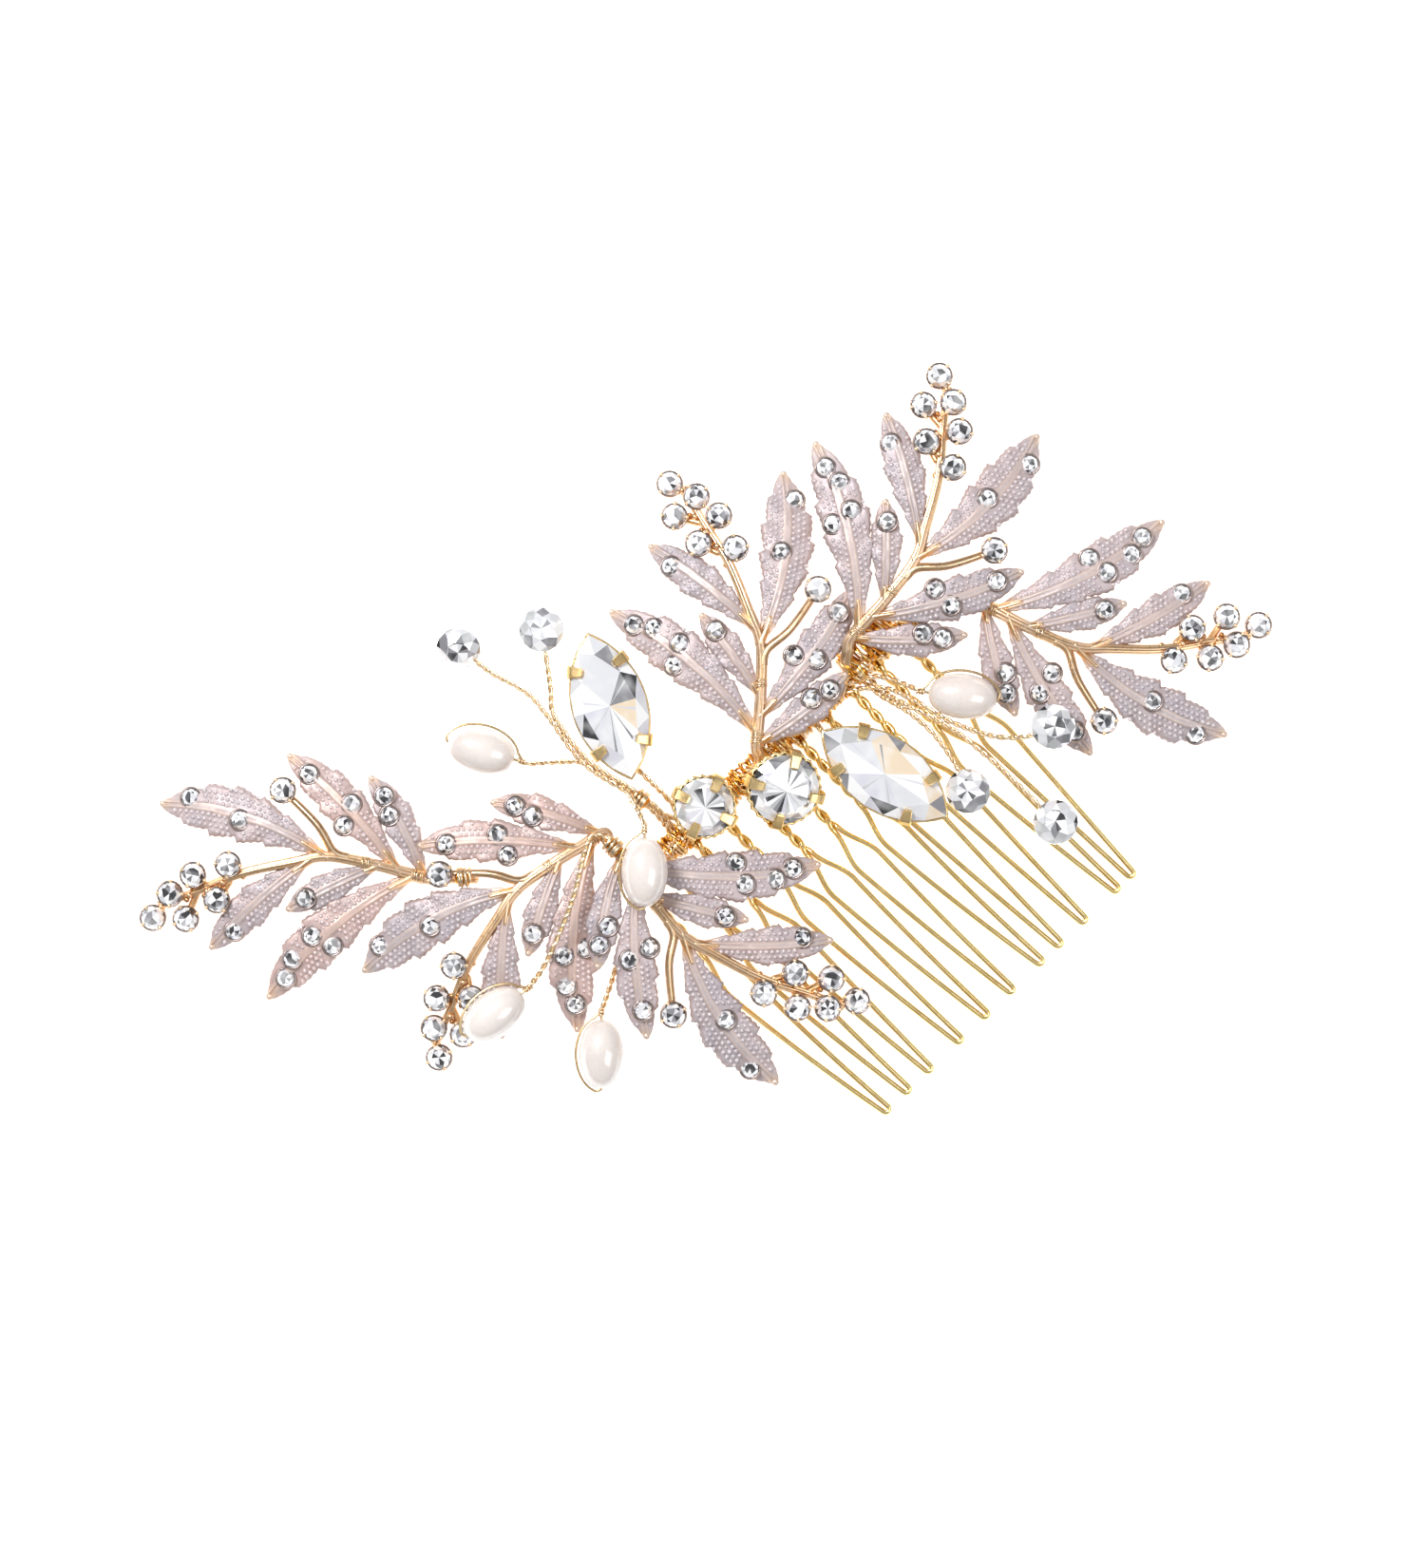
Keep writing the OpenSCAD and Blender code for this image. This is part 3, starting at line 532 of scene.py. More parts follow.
def pearl_material():
    mat, nt, bsdf = nodes_of("rice_pearl", Subsurface_Weight=0.12,
                             Subsurface_Radius=(0.0012, 0.0009, 0.0007), Coat_Weight=1.0,
                             Coat_Roughness=0.1, Coat_IOR=1.7)
    bands = cloud(nt, 130, 2, 0.0, 1.0, 0.3, 0.7)
    cream = blend(nt, bands, (0.66, 0.60, 0.57, 1), (0.78, 0.72, 0.685, 1))
    blush = cloud(nt, 90, 2, 0.0, 0.4, 0.45, 0.7)
    nt.links.new(blend(nt, blush, cream, (0.80, 0.69, 0.63, 1)), bsdf.inputs["Base Color"])
    nt.links.new(cloud(nt, 700, 2, 0.2, 0.34), bsdf.inputs["Roughness"])
    bump(nt, bsdf, noise(nt, 400, 2), 0.06, 0.0002)
    return mat


COMB_GOLD = metal_material("comb_gold", (0.90, 0.78, 0.55, 1))
WIRE_GOLD = metal_material("wire_gold", (0.88, 0.72, 0.58, 1), (0.2, 0.36))
SETTING_GOLD = metal_material("setting_gold", (0.92, 0.82, 0.66, 1), (0.2, 0.36))
CASTING = casting_material()
RHINESTONE = stone_material("rhinestone", 0.10)
CENTRE_STONE = stone_material("centre_stone", 0.06)
CRYSTAL = stone_material("crystal", 0.08)
NACRE = pearl_material()


# Comb


def tooth_line(i, down):
    s = down / TOOTH_LENGTH
    return arr([FIRST_TOOTH_X + TOOTH_PITCH * i + TOOTH_LEANS[i] * s * s, -down,
                SPINE_Z + (COMB_WIRE / 2 - SPINE_Z) * s + TOOTH_BOW * 4 * s * (1 - s)])


def opening(u):
    twisted = COMB_WIRE / 2 + GAP / 2
    if u < 0.2:
        return twisted + (LOOP_WIDTH / 2 - twisted) * (1 - cos(pi * u / 0.2)) / 2
    return LOOP_WIDTH / 2 + (TIP_R - LOOP_WIDTH / 2) * (u - 0.2) / 0.8


def half_tooth(i, side):
    r = COMB_WIRE / 2 + GAP / 2
    free = TOOTH_LENGTH - TIP_R - SHANK
    pts = []
    for a in range(150, 40, -10):
        c, s = cos(radians(a)), sin(radians(a))
        pts.append(arr([FIRST_TOOTH_X + TOOTH_PITCH * i - side * r, -HOOK_R * c,
                        SPINE_Z + side * HOOK_R * s]))
    steps = int(SHANK_TURNS * 18)
    for k in range(steps + 1):
        down = HOOK_R + (SHANK - HOOK_R) * k / steps
        turn = pi + 2 * pi * SHANK_TURNS * k / steps
        pts.append(tooth_line(i, down) + side * r * arr([cos(turn), 0, sin(turn)]))
    for k in range(1, 41):
        u = k / 40
        pts.append(tooth_line(i, SHANK + free * u) + arr([side * opening(u), 0, 0]))
    return pts


def make_tooth(i):
    b = Build()
    tip = tooth_line(i, TOOTH_LENGTH - TIP_R)
    bend = [tip + TIP_R * arr([cos(a), -sin(a), 0])
            for a in np.radians(np.arange(20, 170, 20))]
    path = half_tooth(i, 1) + bend + half_tooth(i, -1)[::-1]
    sweep(b, path, COMB_WIRE / 2 + 0.02, 12, YELLOW_GOLD, first=(1, 0, 0))
    name = "tooth_%02d" % (i + 1)
    b.make(name + "_wire", COMB_GOLD, "comb_wire", name)


def stadium(height, r, a):
    """A point round two stacked circles, at angle a in radians from the bottom."""
    side, up = sin(a) * r, -cos(a) * r
    return side, up + (height if up > 0 else 0)


def coil_path(height, length, r, turns, phase, wobble):
    """A coil along X, round two stacked circles."""
    pts = []
    steps = 26
    for k in range(int(turns * steps) + 1):
        a = 2 * pi * k / steps
        side, up = stadium(height, r, a)
        along = (k / (turns * steps) - 0.5) * length + wobble * sin(a * 0.37 + phase)
        pts.append((along, side, up))
    return np.array(pts)


def add_shade_sleeve(b, centre, angle, height, length):
    """The tight first layer of a binding, mostly in the shade of the wires over it; its amber colour is
    painted shade between those wires.
    """
    sides = 28
    r = BINDING_R + 0.04
    rings = []
    shares = (0.7, 1, 1, 1, 1, 1, 1, 1, 0.7)
    for k, share in enumerate(shares):
        along = (k / 8 - 0.5) * length * 0.94
        rings += [(along, *stadium(height, r * share, a)) for a in circle(sides)]
    b.add(stander(centre, angle)(rings), skin_faces(len(shares), sides), AMBER)


# Loose nets of fine wire over the bindings: two ends, width, height and turns.
NETS = [
    ((12.8, 1.2, 3.8), (22.0, 2.6, 3.9), 2.1, 1.7, 11),
    ((-9.2, 0.7, 3.2), (1.5, 0.7, 3.1), 1.5, 1.3, 11),
    ((-22.5, 0.8, 3.0), (-17.0, 0.9, 3.2), 1.5, 1.2, 6),
]


def add_net(b, start, end, wide, high, turns, rng):
    """Uneven wraps of fine wire crossing one another round the rod and the stems on it."""
    axis = arr(end) - arr(start)
    side = unit(np.cross((0, 0, 1), axis))
    for hand, tone in ((1, YELLOW_GOLD), (-1, AMBER), (1, AMBER)):
        count = max(2, int(turns * rng.uniform(0.75, 1.0)))
        phase = rng.uniform(0, 6)
        pts = []
        for k in range(count * 20 + 1):
            f = k / (count * 20)
            a = 2 * pi * count * f * hand + phase
            uneven = 1 + 0.14 * sin(2.3 * a + phase) + 0.08 * sin(0.7 * a)
            pts.append(arr(start) + axis * (f + 0.03 * sin(1.3 * a))
                       + side * wide * uneven * cos(a) + arr([0, 0, high * uneven * sin(a)]))
        sweep(b, pts, NET_R, 7, tone)


def make_spine():
    b = Build()
    xs = np.linspace(SPINE_ENDS[0], SPINE_ENDS[1], 120)
    path = np.stack([xs, np.zeros(120), np.full(120, SPINE_Z)], 1)
    sweep(b, path, SPINE_D / 2, 20, AMBER, taper_ends=False)
    b.make("spine_rod_wire", COMB_GOLD, "comb_wire", "spine_rod")

    b = Build()
    rng = random.Random(3)
    r = BINDING_R + BINDING_WALL / 2
    for x, top in BINDINGS:
        add_shade_sleeve(b, (x, 0, SPINE_Z), 0, top - SPINE_Z, BINDING_LENGTH)
        path = coil_path(top - SPINE_Z, BINDING_LENGTH - 0.4, r, 4.5, rng.uniform(0, 6), 0.16)
        sweep(b, stander((x, 0, SPINE_Z), 0)(path), COIL_R, 8, CHAMPAGNE)
        for k in range(3):
            lean = rng.uniform(-1.0, 1.0)
            loop = coil_path(top - SPINE_Z, lean * 2, r + 0.26, 1.05, rng.uniform(0, 6), 0.2)
            go = stander((x + rng.uniform(-1, 1), 0, SPINE_Z), lean * 14)
            sweep(b, go(loop), LOOSE_R, 7, rng.choice((YELLOW_GOLD, YELLOW_GOLD, CHAMPAGNE)))
    for (x1, t1), (x2, t2) in zip(BINDINGS, BINDINGS[1:]):
        for side in (-1, 1):
            a = (x1 + 1.0, side * 0.75, max(t1, 2.9) + 0.6)
            c = (x2 - 1.0, -side * 0.75, max(t2, 2.9) + 0.6)
            mid = (arr(a) + arr(c)) / 2 + arr([0, 0, -0.25 + 0.2 * side])
            sweep(b, smooth([a, mid, c], 10), BRIDGE_R, 6, CHAMPAGNE)
        for part in (0.36, 0.64):
            lean = rng.uniform(-0.5, 0.5)
            loop = coil_path(0.25, 0.55, SPINE_D / 2 + 0.62, 2.2, rng.uniform(0, 6), 0.1)
            centre = (x1 + (x2 - x1) * part + lean * 0.3, 0, SPINE_Z)
            go = stander(centre, lean * 20)
            sweep(b, go(loop), LOOSE_R, 7, rng.choice((CHAMPAGNE, YELLOW_GOLD, AMBER)))
    for net in NETS:
        add_net(b, *net, rng)
    b.make("spine_binding_coils", WIRE_GOLD, "fine_wire", "spine_bindings")

    b = Build()
    for centre, angle, top in TIES:
        add_shade_sleeve(b, centre, angle, top - centre[2], BINDING_LENGTH * 0.7)
        path = coil_path(top - centre[2], BINDING_LENGTH * 0.7 - 0.4, r, 3.6, 0.4, 0.1)
        sweep(b, stander(centre, angle)(path), COIL_R, 8, CHAMPAGNE)
    for place, turn, droop, _ in SPRAYS:
        go = stander(place, turn, droop)
        for foot, slope, turns in (((0.45, 1.3), 20, 5), ((2.9, 8.0), 15, 3)):
            path = coil_path(0, 1.9 * turns / 5, STEM_D / 2 + 0.08, turns, foot[1], 0.08)
            sweep(b, go(stander(on_dome(foot), 90 - slope)(path)), KNOT_R, 6, CHAMPAGNE)
    b.make("stem_tie_coils", WIRE_GOLD, "fine_wire", "stem_ties")


# Sprays


def dome(p):
    return (SPRAY_RISE * (1 - ((p[1] - SPRAY_PEAK) / SPRAY_PEAK) ** 2)
            - SIDE_FALL * (p[0] - STEM[3][0]) ** 2)


def on_dome(p, rise=0.0):
    return arr([p[0], p[1], dome(p) + rise])


def sine(degrees):
    return sin(radians(degrees))


def leaf_bow(leaf, t):
    """How far a leaf's middle line is from its chord."""
    return leaf[3] * 4 * t * (1 - t)


def leaf_point(leaf, t, across):
    foot, tip = arr(leaf[0]), arr(leaf[1])
    chord = tip - foot
    c = unit(chord)
    side = arr([c[1], -c[0]])
    return foot + chord * t + side * (leaf_bow(leaf, t) + across)


def leaf_blade(leaf, t):
    """Half width without the lobes."""
    blade = max(0.0, sine(180 * min(t, 1) ** 1.35)) ** 0.85
    return 0.42 + (leaf[2] / 2 - 0.42) * blade


def leaf_half(leaf, t, side=0):
    """Half width with lobes that end in a point towards the tip, and fine scallops on them."""
    u = (t * leaf[4] + 0.22 * side) % 1.0
    grow = u ** 0.75 if u < 0.82 else max(0.0, (1 - u) / 0.18)
    scallop = 0.07 * abs(sine(180 * 4 * u))
    return 0.42 + (leaf_blade(leaf, t) - 0.42) * (0.80 + 0.30 * grow + scallop)


def leaf_top(leaf, t, across):
    """Height of a leaf's face, with a double midrib and raised edges on its lobes."""
    w = leaf_blade(leaf, t)
    s = max(-1.0, min(1.0, across / w))
    rib = sum(exp(-((across - o) / 0.17) ** 2) for o in (-0.3, 0.3)) * 0.9
    swell = sine(180 * t)
    edge = 0.16 * exp(-((abs(s) - 0.9) / 0.08) ** 2) * swell
    lobe = t * leaf[4] + 0.22 * (1 if s > 0 else -1) - 0.5 * abs(s)
    edge += 0.17 * abs(s) * sine(360 * lobe) * swell
    return (dome(leaf_point(leaf, t, across)) + LEAF_LIFT * swell + RIB_HEIGHT * min(rib, 1)
            - 0.4 * s * s * swell + edge)


def leaf_place(leaf, p):
    """How far along and across a leaf a point is."""
    foot, chord = arr(leaf[0]), arr(leaf[1]) - arr(leaf[0])
    t = (arr(p) - foot).dot(chord) / chord.dot(chord)
    c = unit(chord)
    return t, (arr(p) - foot).dot(arr([c[1], -c[0]])) - leaf_bow(leaf, t)


def mixed(a, b, f):
    return tuple(x + (y - x) * f for x, y in zip(a, b))


def leaf_seat(leaf, p):
    t, across = leaf_place(leaf, p)
    s = across / leaf_blade(leaf, t)
    plain = (dome(p) + LEAF_LIFT * sine(180 * t) + RIB_HEIGHT * max(0, 1 - abs(across) / 0.7)
             - 0.4 * s * s * sine(180 * t))
    return arr([p[0], p[1], plain + SEAT_RISE])


def add_leaf(b, leaf, stones, enamel, rng):
    steps = leaf[4] * 20
    cols = 21
    under = 7
    verts, tones = [], []
    for k in range(steps + 1):
        t = k / steps
        widths = {-1: leaf_half(leaf, t, -1), 1: leaf_half(leaf, t, 1)}
        thin = LEAF_THICKNESS * 0.6
        gild = 0.9 * max(0.0, 1 - t / 0.16) + max(0.0, (t - 0.93) / 0.07) * 0.35
        for j in range(cols):
            s = -1 + 2 * j / (cols - 1)
            w = widths[-1 if s < 0 else 1]
            p = leaf_point(leaf, t, s * w)
            round_off = 0.22 * abs(s) ** 14
            verts.append((p[0], p[1], leaf_top(leaf, t, s * w) - round_off))
            # Painted shade in the troughs of the lobes' folds and in a line beside the midrib; the
            # outline is darkened by wear and by painted shade.
            lobe = (t * leaf[4] + 0.22 * (1 if s > 0 else -1) - 0.5 * abs(s)) % 1
            fold_shade = 0.62 * abs(s) * exp(-((lobe - 0.75) / 0.14) ** 2)
            groove_shade = 0.6 * exp(-((abs(s * w) - 0.74) / 0.2) ** 2) * min(1.0, 4 * (1 - t))
            worn = max(fold_shade, groove_shade, 0.85 * max(0.0, (abs(s) - 0.84) / 0.16))
            rib = 0.25 * exp(-((abs(s * w) - 0.3) / 0.18) ** 2)
            tones.append(mixed(mixed(enamel, WORN_EDGE_AND_SHADE, worn), ROSE_GOLD, min(1.0, gild + rib)))
        for j in range(under):
            s = 0.96 - 1.92 * j / (under - 1)
            w = widths[-1 if s < 0 else 1]
            p = leaf_point(leaf, t, s * w)
            low = leaf_top(leaf, t, s * w) - thin - 0.35 * (1 - s * s)
            verts.append((p[0], p[1], low))
            tones.append(mixed(ROSE_GOLD, WORN_EDGE_AND_SHADE, min(1.0, 0.35 + 0.65 * abs(s))))
    b.add(verts, skin_faces(steps + 1, cols + under), tones)
    chord = np.linalg.norm(arr(leaf[1]) - arr(leaf[0]))
    dv, df = DOME
    # Painted highlight: the raised grains are lighter than the enamel between them.
    bead_highlight = mixed(enamel, (0.88, 0.84, 0.86, 0.4), 0.5)
    step = 0.76
    rows = int(chord * 0.86 / step)
    for k in range(rows):
        for side in (-1, 1):
            j = 0
            while True:
                across = 0.84 + 0.70 * j
                t = 0.13 + (k + 0.5 * (j % 2)) * step / chord
                if t > 0.94 or across > leaf_half(leaf, t) * 0.92 - 0.22:
                    break
                j += 1
                p = leaf_point(leaf, t, side * across)
                if any(hypot(p[0] - q[0], p[1] - q[1]) < LEAF_STONE / 2 + 0.5 for q in stones):
                    continue
                z = leaf_top(leaf, t, side * across)
                r = 0.32 * rng.uniform(0.8, 1.12)
                b.add(dv * [r, r, r * 0.95] + arr([p[0], p[1], z - 0.04]), df,
                      mixed(bead_highlight, enamel, rng.uniform(0, 0.5)))
    end = leaf_point(leaf, 0.995, 0)
    ball(b, (end[0], end[1], leaf_top(leaf, 0.995, 0) - 0.1), 0.5, mixed(ROSE_GOLD, enamel, 0.6), 0.8)


def add_seat(b, seat, d):
    """The dark metal collar that a leaf's stone is pressed into."""
    r = d / 2 * LEAF_STONE_SHARE
    profile = [(r - 0.3, -0.2), (r + 0.36, -0.2), (r + 0.34, 0.18), (r + 0.22, 0.42), (r + 0.05, 0.44),
               (r - 0.02, 0.2), (r - 0.3, 0.05)]
    rim = (0.30, 0.25, 0.24, 1)
    tones = [DARK_SILVER, mixed(DARK_SILVER, ROSE_GOLD, 0.3), mixed(DARK_SILVER, ROSE_GOLD, 0.25),
             rim, rim, DARK_SILVER, DARK_SILVER]
    revolve(b, stander(seat, 0), profile, tones)


def add_cup(b, seat, foot, rng):
    r = CLUSTER_STONE / 2 * CLUSTER_STONE_SHARE
    profile = [(0.05, -CUP_HEIGHT - 0.1), (r * 0.7, -CUP_HEIGHT), (r + 0.05, -0.5), (r + 0.26, 0.0),
               (r + 0.22, 0.42), (r + 0.04, 0.5), (r - 0.02, 0.15), (r - 0.3, -0.1), (0.05, -0.2)]
    rim = (0.36, 0.25, 0.17, 1)
    tones = [DEEP_COPPER, mixed(DEEP_COPPER, AMBER, 0.5), mixed(DEEP_COPPER, AMBER, 0.6), rim,
             rim, DARK_SILVER, DARK_SILVER, DARK_SILVER, DARK_SILVER]
    revolve(b, stander(seat, 0), profile, tones)
    start = rng.uniform(0, 90)
    for k in range(4):
        grain = stander(seat, start + 90 * k)((r + 0.12, 0, 0.5))
        ball(b, grain, 0.3, ROSE_GOLD, 0.9, 8, 5)
    low = seat - arr([0, 0, CUP_HEIGHT * 0.75])
    mid = (arr(foot) + low) / 2 - arr([0, 0, 0.12])
    warm = mixed(ROSE_GOLD, AMBER, 0.55)
    sweep(b, smooth([foot, mid, low], 6), np.linspace(0.45, 0.55, 13), 9, warm)


def arm_foot(p):
    t = min(1, max(0, (p[1] - 2 - STEM[4][1]) / (STEM[7][1] - STEM[4][1])))
    return on_dome((STEM[4][0] + (STEM[7][0] - STEM[4][0]) * t,
                    STEM[4][1] + (STEM[7][1] - STEM[4][1]) * t), -0.15)


def spray_body(number):
    """Leaves, cups and seats, which all six castings share apart from their tints."""
    b = Build()
    rng = random.Random(11 + number)
    for k, leaf in enumerate(LEAVES):
        enamel = ENAMELS[rng.choice((0, 0, 1, 1, 2))]
        add_leaf(b, leaf, LEAF_STONES[k], enamel, rng)
        for p in LEAF_STONES[k]:
            add_seat(b, leaf_seat(leaf, p), LEAF_STONE)
    for p in CLUSTER + [SINGLE]:
        seat = on_dome(p, CUP_RISE)
        foot = on_dome(p, -0.3) if p == SINGLE else arm_foot(p)
        add_cup(b, seat, foot, rng)
    for p, q in zip(CLUSTER, CLUSTER[1:]):
        m = (arr(p) + arr(q)) / 2
        m[0] += rng.uniform(-0.3, 0.3)
        at = on_dome(m)
        ball(b, at + (0, 0, 0.55), 0.46, mixed(ROSE_GOLD, AMBER, 0.35), 1.0, 9, 6)
        ball(b, at + (0.6, -0.5, 0.25), 0.42, mixed(AMBER, DEEP_COPPER, 0.4), 1.0, 8, 5)
        ball(b, at + (-0.6, 0.4, 0.2), 0.40, mixed(AMBER, DEEP_COPPER, 0.6), 1.0, 8, 5)
    stalk = smooth([on_dome((3.9, 10.4), -0.05), on_dome(STALK_FOOT, 0.05), on_dome((8.8, 14.0), 0.35),
                    on_dome(SINGLE, -0.1)], 8)
    sweep(b, stalk, np.linspace(0.62, 0.45, len(stalk)), 15, ROSE_GOLD, ridges=5, ridge_depth=0.12)
    return b


def add_stem(b, number):
    """The stem, from the far end of its root to its tip, and the foot of each leaf."""
    place, turn, droop, root = SPRAYS[number]
    m = turned(2, turn) @ turned(0, -droop)
    back = [(arr(p) - arr(place)) @ m for p in root[::-1]]
    line = smooth(back + [on_dome(p) for p in STEM], 9)
    share = np.clip(line[:, 1], 0, None) / STEM[7][1]
    radii = STEM_D / 2 * (1 - 0.35 * share)
    forks = [arr(leaf[0]) for leaf in LEAVES]
    tones = []
    for p in line:
        near = min(np.linalg.norm(p[:2] - f) for f in forks)
        enamelled = 0.35 * max(0.0, 1 - near / 2.2)
        tones.append(mixed(ROSE_GOLD, ENAMELS[1], enamelled))
    sweep(b, line, radii, 28, np.array(tones), ridges=7, ridge_depth=0.16)
    for leaf in LEAVES:
        foot = leaf_point(leaf, -0.02, 0)
        path = [on_dome(foot, 0.0), on_dome(leaf_point(leaf, 0.05, 0), 0.1),
                on_dome(leaf_point(leaf, 0.15, 0), 0.2)]
        sweep(b, smooth(path, 6), np.linspace(0.62, 0.4, 13), 16, ROSE_GOLD, ridges=4, ridge_depth=0.14)


class Facets:
    """Flat facets, each with a tone of its own."""

    def __init__(self, *verts):
        self.verts = list(verts)
        self.faces = []
        self.tones = []

    def point(self, v):
        self.verts.append(tuple(v))
        return len(self.verts) - 1

    def facet(self, tone, *corners):
        self.faces.append(corners)
        self.tones.append(tone)

    def add_to(self, b, place):
        b.add(place(np.array(self.verts, float)), self.faces, self.tones, smooth_faces=False)


def brilliant(b, place, d, rng, palette, table=0.31, heights=(0.08, 0.16, 0.36), back=None,
              table_dip=0.02):
    """A round stone. The palette has the painted reflections for its table, upper and lower facets:
    light and dark tones picked facet by facet.
    """
    sides = 8
    r = d / 2
    low, girdle, top = (h * d for h in heights)
    cut = Facets((0, 0, top - table_dip * d))

    def loop(radius, z, count, turn=0.0):
        return [cut.point((radius * cos(a + turn), radius * sin(a + turn), z)) for a in circle(count)]

    n = 2 * sides
    t = loop(table * d, top, sides)
    m = loop(0.405 * d, girdle + (top - girdle) * 0.52, sides, pi / sides)
    g = loop(r, girdle, n)
    e = loop(r, low, n)
    under = loop(0.9 * r, 0 if back is None else low * 0.3, n)
    table_tones, upper, lower = palette
    pick = rng.choice
    for k in range(sides):
        k2 = (k + 1) % sides
        cut.facet(pick(table_tones), 0, t[k], t[k2])
        cut.facet(pick(upper), t[k], m[k], t[k2])
        kite = pick(upper)
        cut.facet(kite, t[k], m[k - 1], g[2 * k])
        cut.facet(kite, t[k], g[2 * k], m[k])
        cut.facet(pick(lower), m[k], g[2 * k], g[2 * k + 1])
        cut.facet(pick(lower), m[k], g[2 * k + 1], g[(2 * k + 2) % n])
    for k in range(n):
        k2 = (k + 1) % n
        cut.facet(pick(lower), g[k], e[k], e[k2], g[k2])
        cut.facet(pick(lower), e[k], under[k], under[k2], e[k2])
    if back is None:
        cut.facet(GREY, *under[::-1])
    else:
        tip = cut.point((0, 0, back * d))
        for k in range(n):
            cut.facet(pick(lower), under[k], tip, under[(k + 1) % n])
    cut.add_to(b, place)


# Painted reflections for the stones: light and dark tones for the table, upper and lower facets.
SMALL_STONE_REFLECTIONS = ([DARK, WHITE, PALE, GREY, WHITE, DARK], [WHITE, PALE, GREY, WHITE, LAVENDER, DARK],
                 [WHITE, PALE, GREY, DARK, GREY])
BIG_STONE_REFLECTIONS = ([WHITE, PALE, GREY, SMOKE, LAVENDER], [WHITE, PALE, LAVENDER, SMOKE, WHITE, GREY],
               [PALE, WHITE, GREY, SMOKE, DARK, WHITE])
CRYSTAL_REFLECTIONS = ([WHITE, PALE, GREY, WHITE, DARK, PALE], [PALE, SMOKE, WHITE, PALE, GREY],
                 [SMOKE, PALE, SMOKE, GREY, PALE, DARK])


def add_painted_star(b, place, d, z, rng, tones, rays):
    """A star of narrow facets just above a table, painted in light and dark tones as a painted
    reflection of the back's facets showing through it.
    """
    star = Facets((0, 0, z + 0.015 * d))
    for k in range(rays):
        a = 2 * pi * (k + 0.5 * rng.uniform(-0.25, 0.25)) / rays
        r = d * rng.uniform(0.86, 1.0)
        star.point((r * cos(a), r * sin(a), z))
    under = star.point((0, 0, z - 0.05 * d))
    for k in range(rays):
        k2 = (k + 1) % rays
        star.facet(tones[(k * 5 + rng.randint(0, 2)) % len(tones)], 0, k + 1, k2 + 1)
        star.facet(GREY, under, k2 + 1, k + 1)
    star.add_to(b, place)


def make_spray(number):
    place, turn, droop, _ = SPRAYS[number]
    go = stander(place, turn, droop)
    b = spray_body(number)
    add_stem(b, number)
    b.verts = [go(v) for v in b.verts]
    name = "spray_%d" % (number + 1)
    b.make(name + "_leaves", CASTING, "enamelled_casting", name + "_casting")

    b = Build()
    rng = random.Random(31 + number)
    stones = [(leaf_seat(leaf, p), LEAF_STONE * LEAF_STONE_SHARE)
              for leaf, ps in zip(LEAVES, LEAF_STONES) for p in ps]
    stones += [(on_dome(p, CUP_RISE), CLUSTER_STONE * CLUSTER_STONE_SHARE) for p in CLUSTER + [SINGLE]]
    for seat, d in stones:
        spin = stander(seat, rng.uniform(0, 45))
        brilliant(b, lambda v: go(spin(v)), d * 0.99, rng, SMALL_STONE_REFLECTIONS)
    b.make(name + "_rhinestones", RHINESTONE, "small_rhinestone", name + "_stones")


# Settings


def lens_outline(scale, n):
    """Points round the pointed oval, from one tip to the other and back."""
    length, width = MARQUISE
    r = (length ** 2 / 4 + width ** 2 / 4) / width
    half = asin(length / 2 / r)
    a = np.linspace(half, -half, n + 1)[:-1]
    upper = np.stack([r * np.sin(a), r * np.cos(a) - r + width / 2], 1)
    return scale * np.concatenate([upper, -upper])


CLAW_SECTION = [(-1, -0.4), (-0.8, -1), (0.8, -1), (1, -0.4), (1, 0.4), (0.8, 1), (-0.8, 1), (-1, 0.4)]


def add_claw(b, foot, inward, bends, width, thick, place):
    """A flat tab that narrows towards its tip. Each bend is how far inwards it is, and how high."""
    path = smooth([foot + inward * x + arr([0, 0, z]) for x, z in bends], 4)
    across = unit(np.cross(inward, (0, 0, 1)))
    last = len(path) - 1
    rings = []
    for i, (p, t) in enumerate(zip(path, np.gradient(path, axis=0))):
        up = unit(np.cross(across, t))
        w, h = width / 2 * (1 - 0.35 * max(0.0, i / last - 0.5) * 2), thick / 2
        if i in (0, last):
            w, h = w * 0.72, h * 0.6
        rings += [p + across * x * w + up * z * h for x, z in CLAW_SECTION]
    b.add(place(np.array(rings)), skin_faces(len(path), 8), PALE_GOLD, smooth_faces=False)


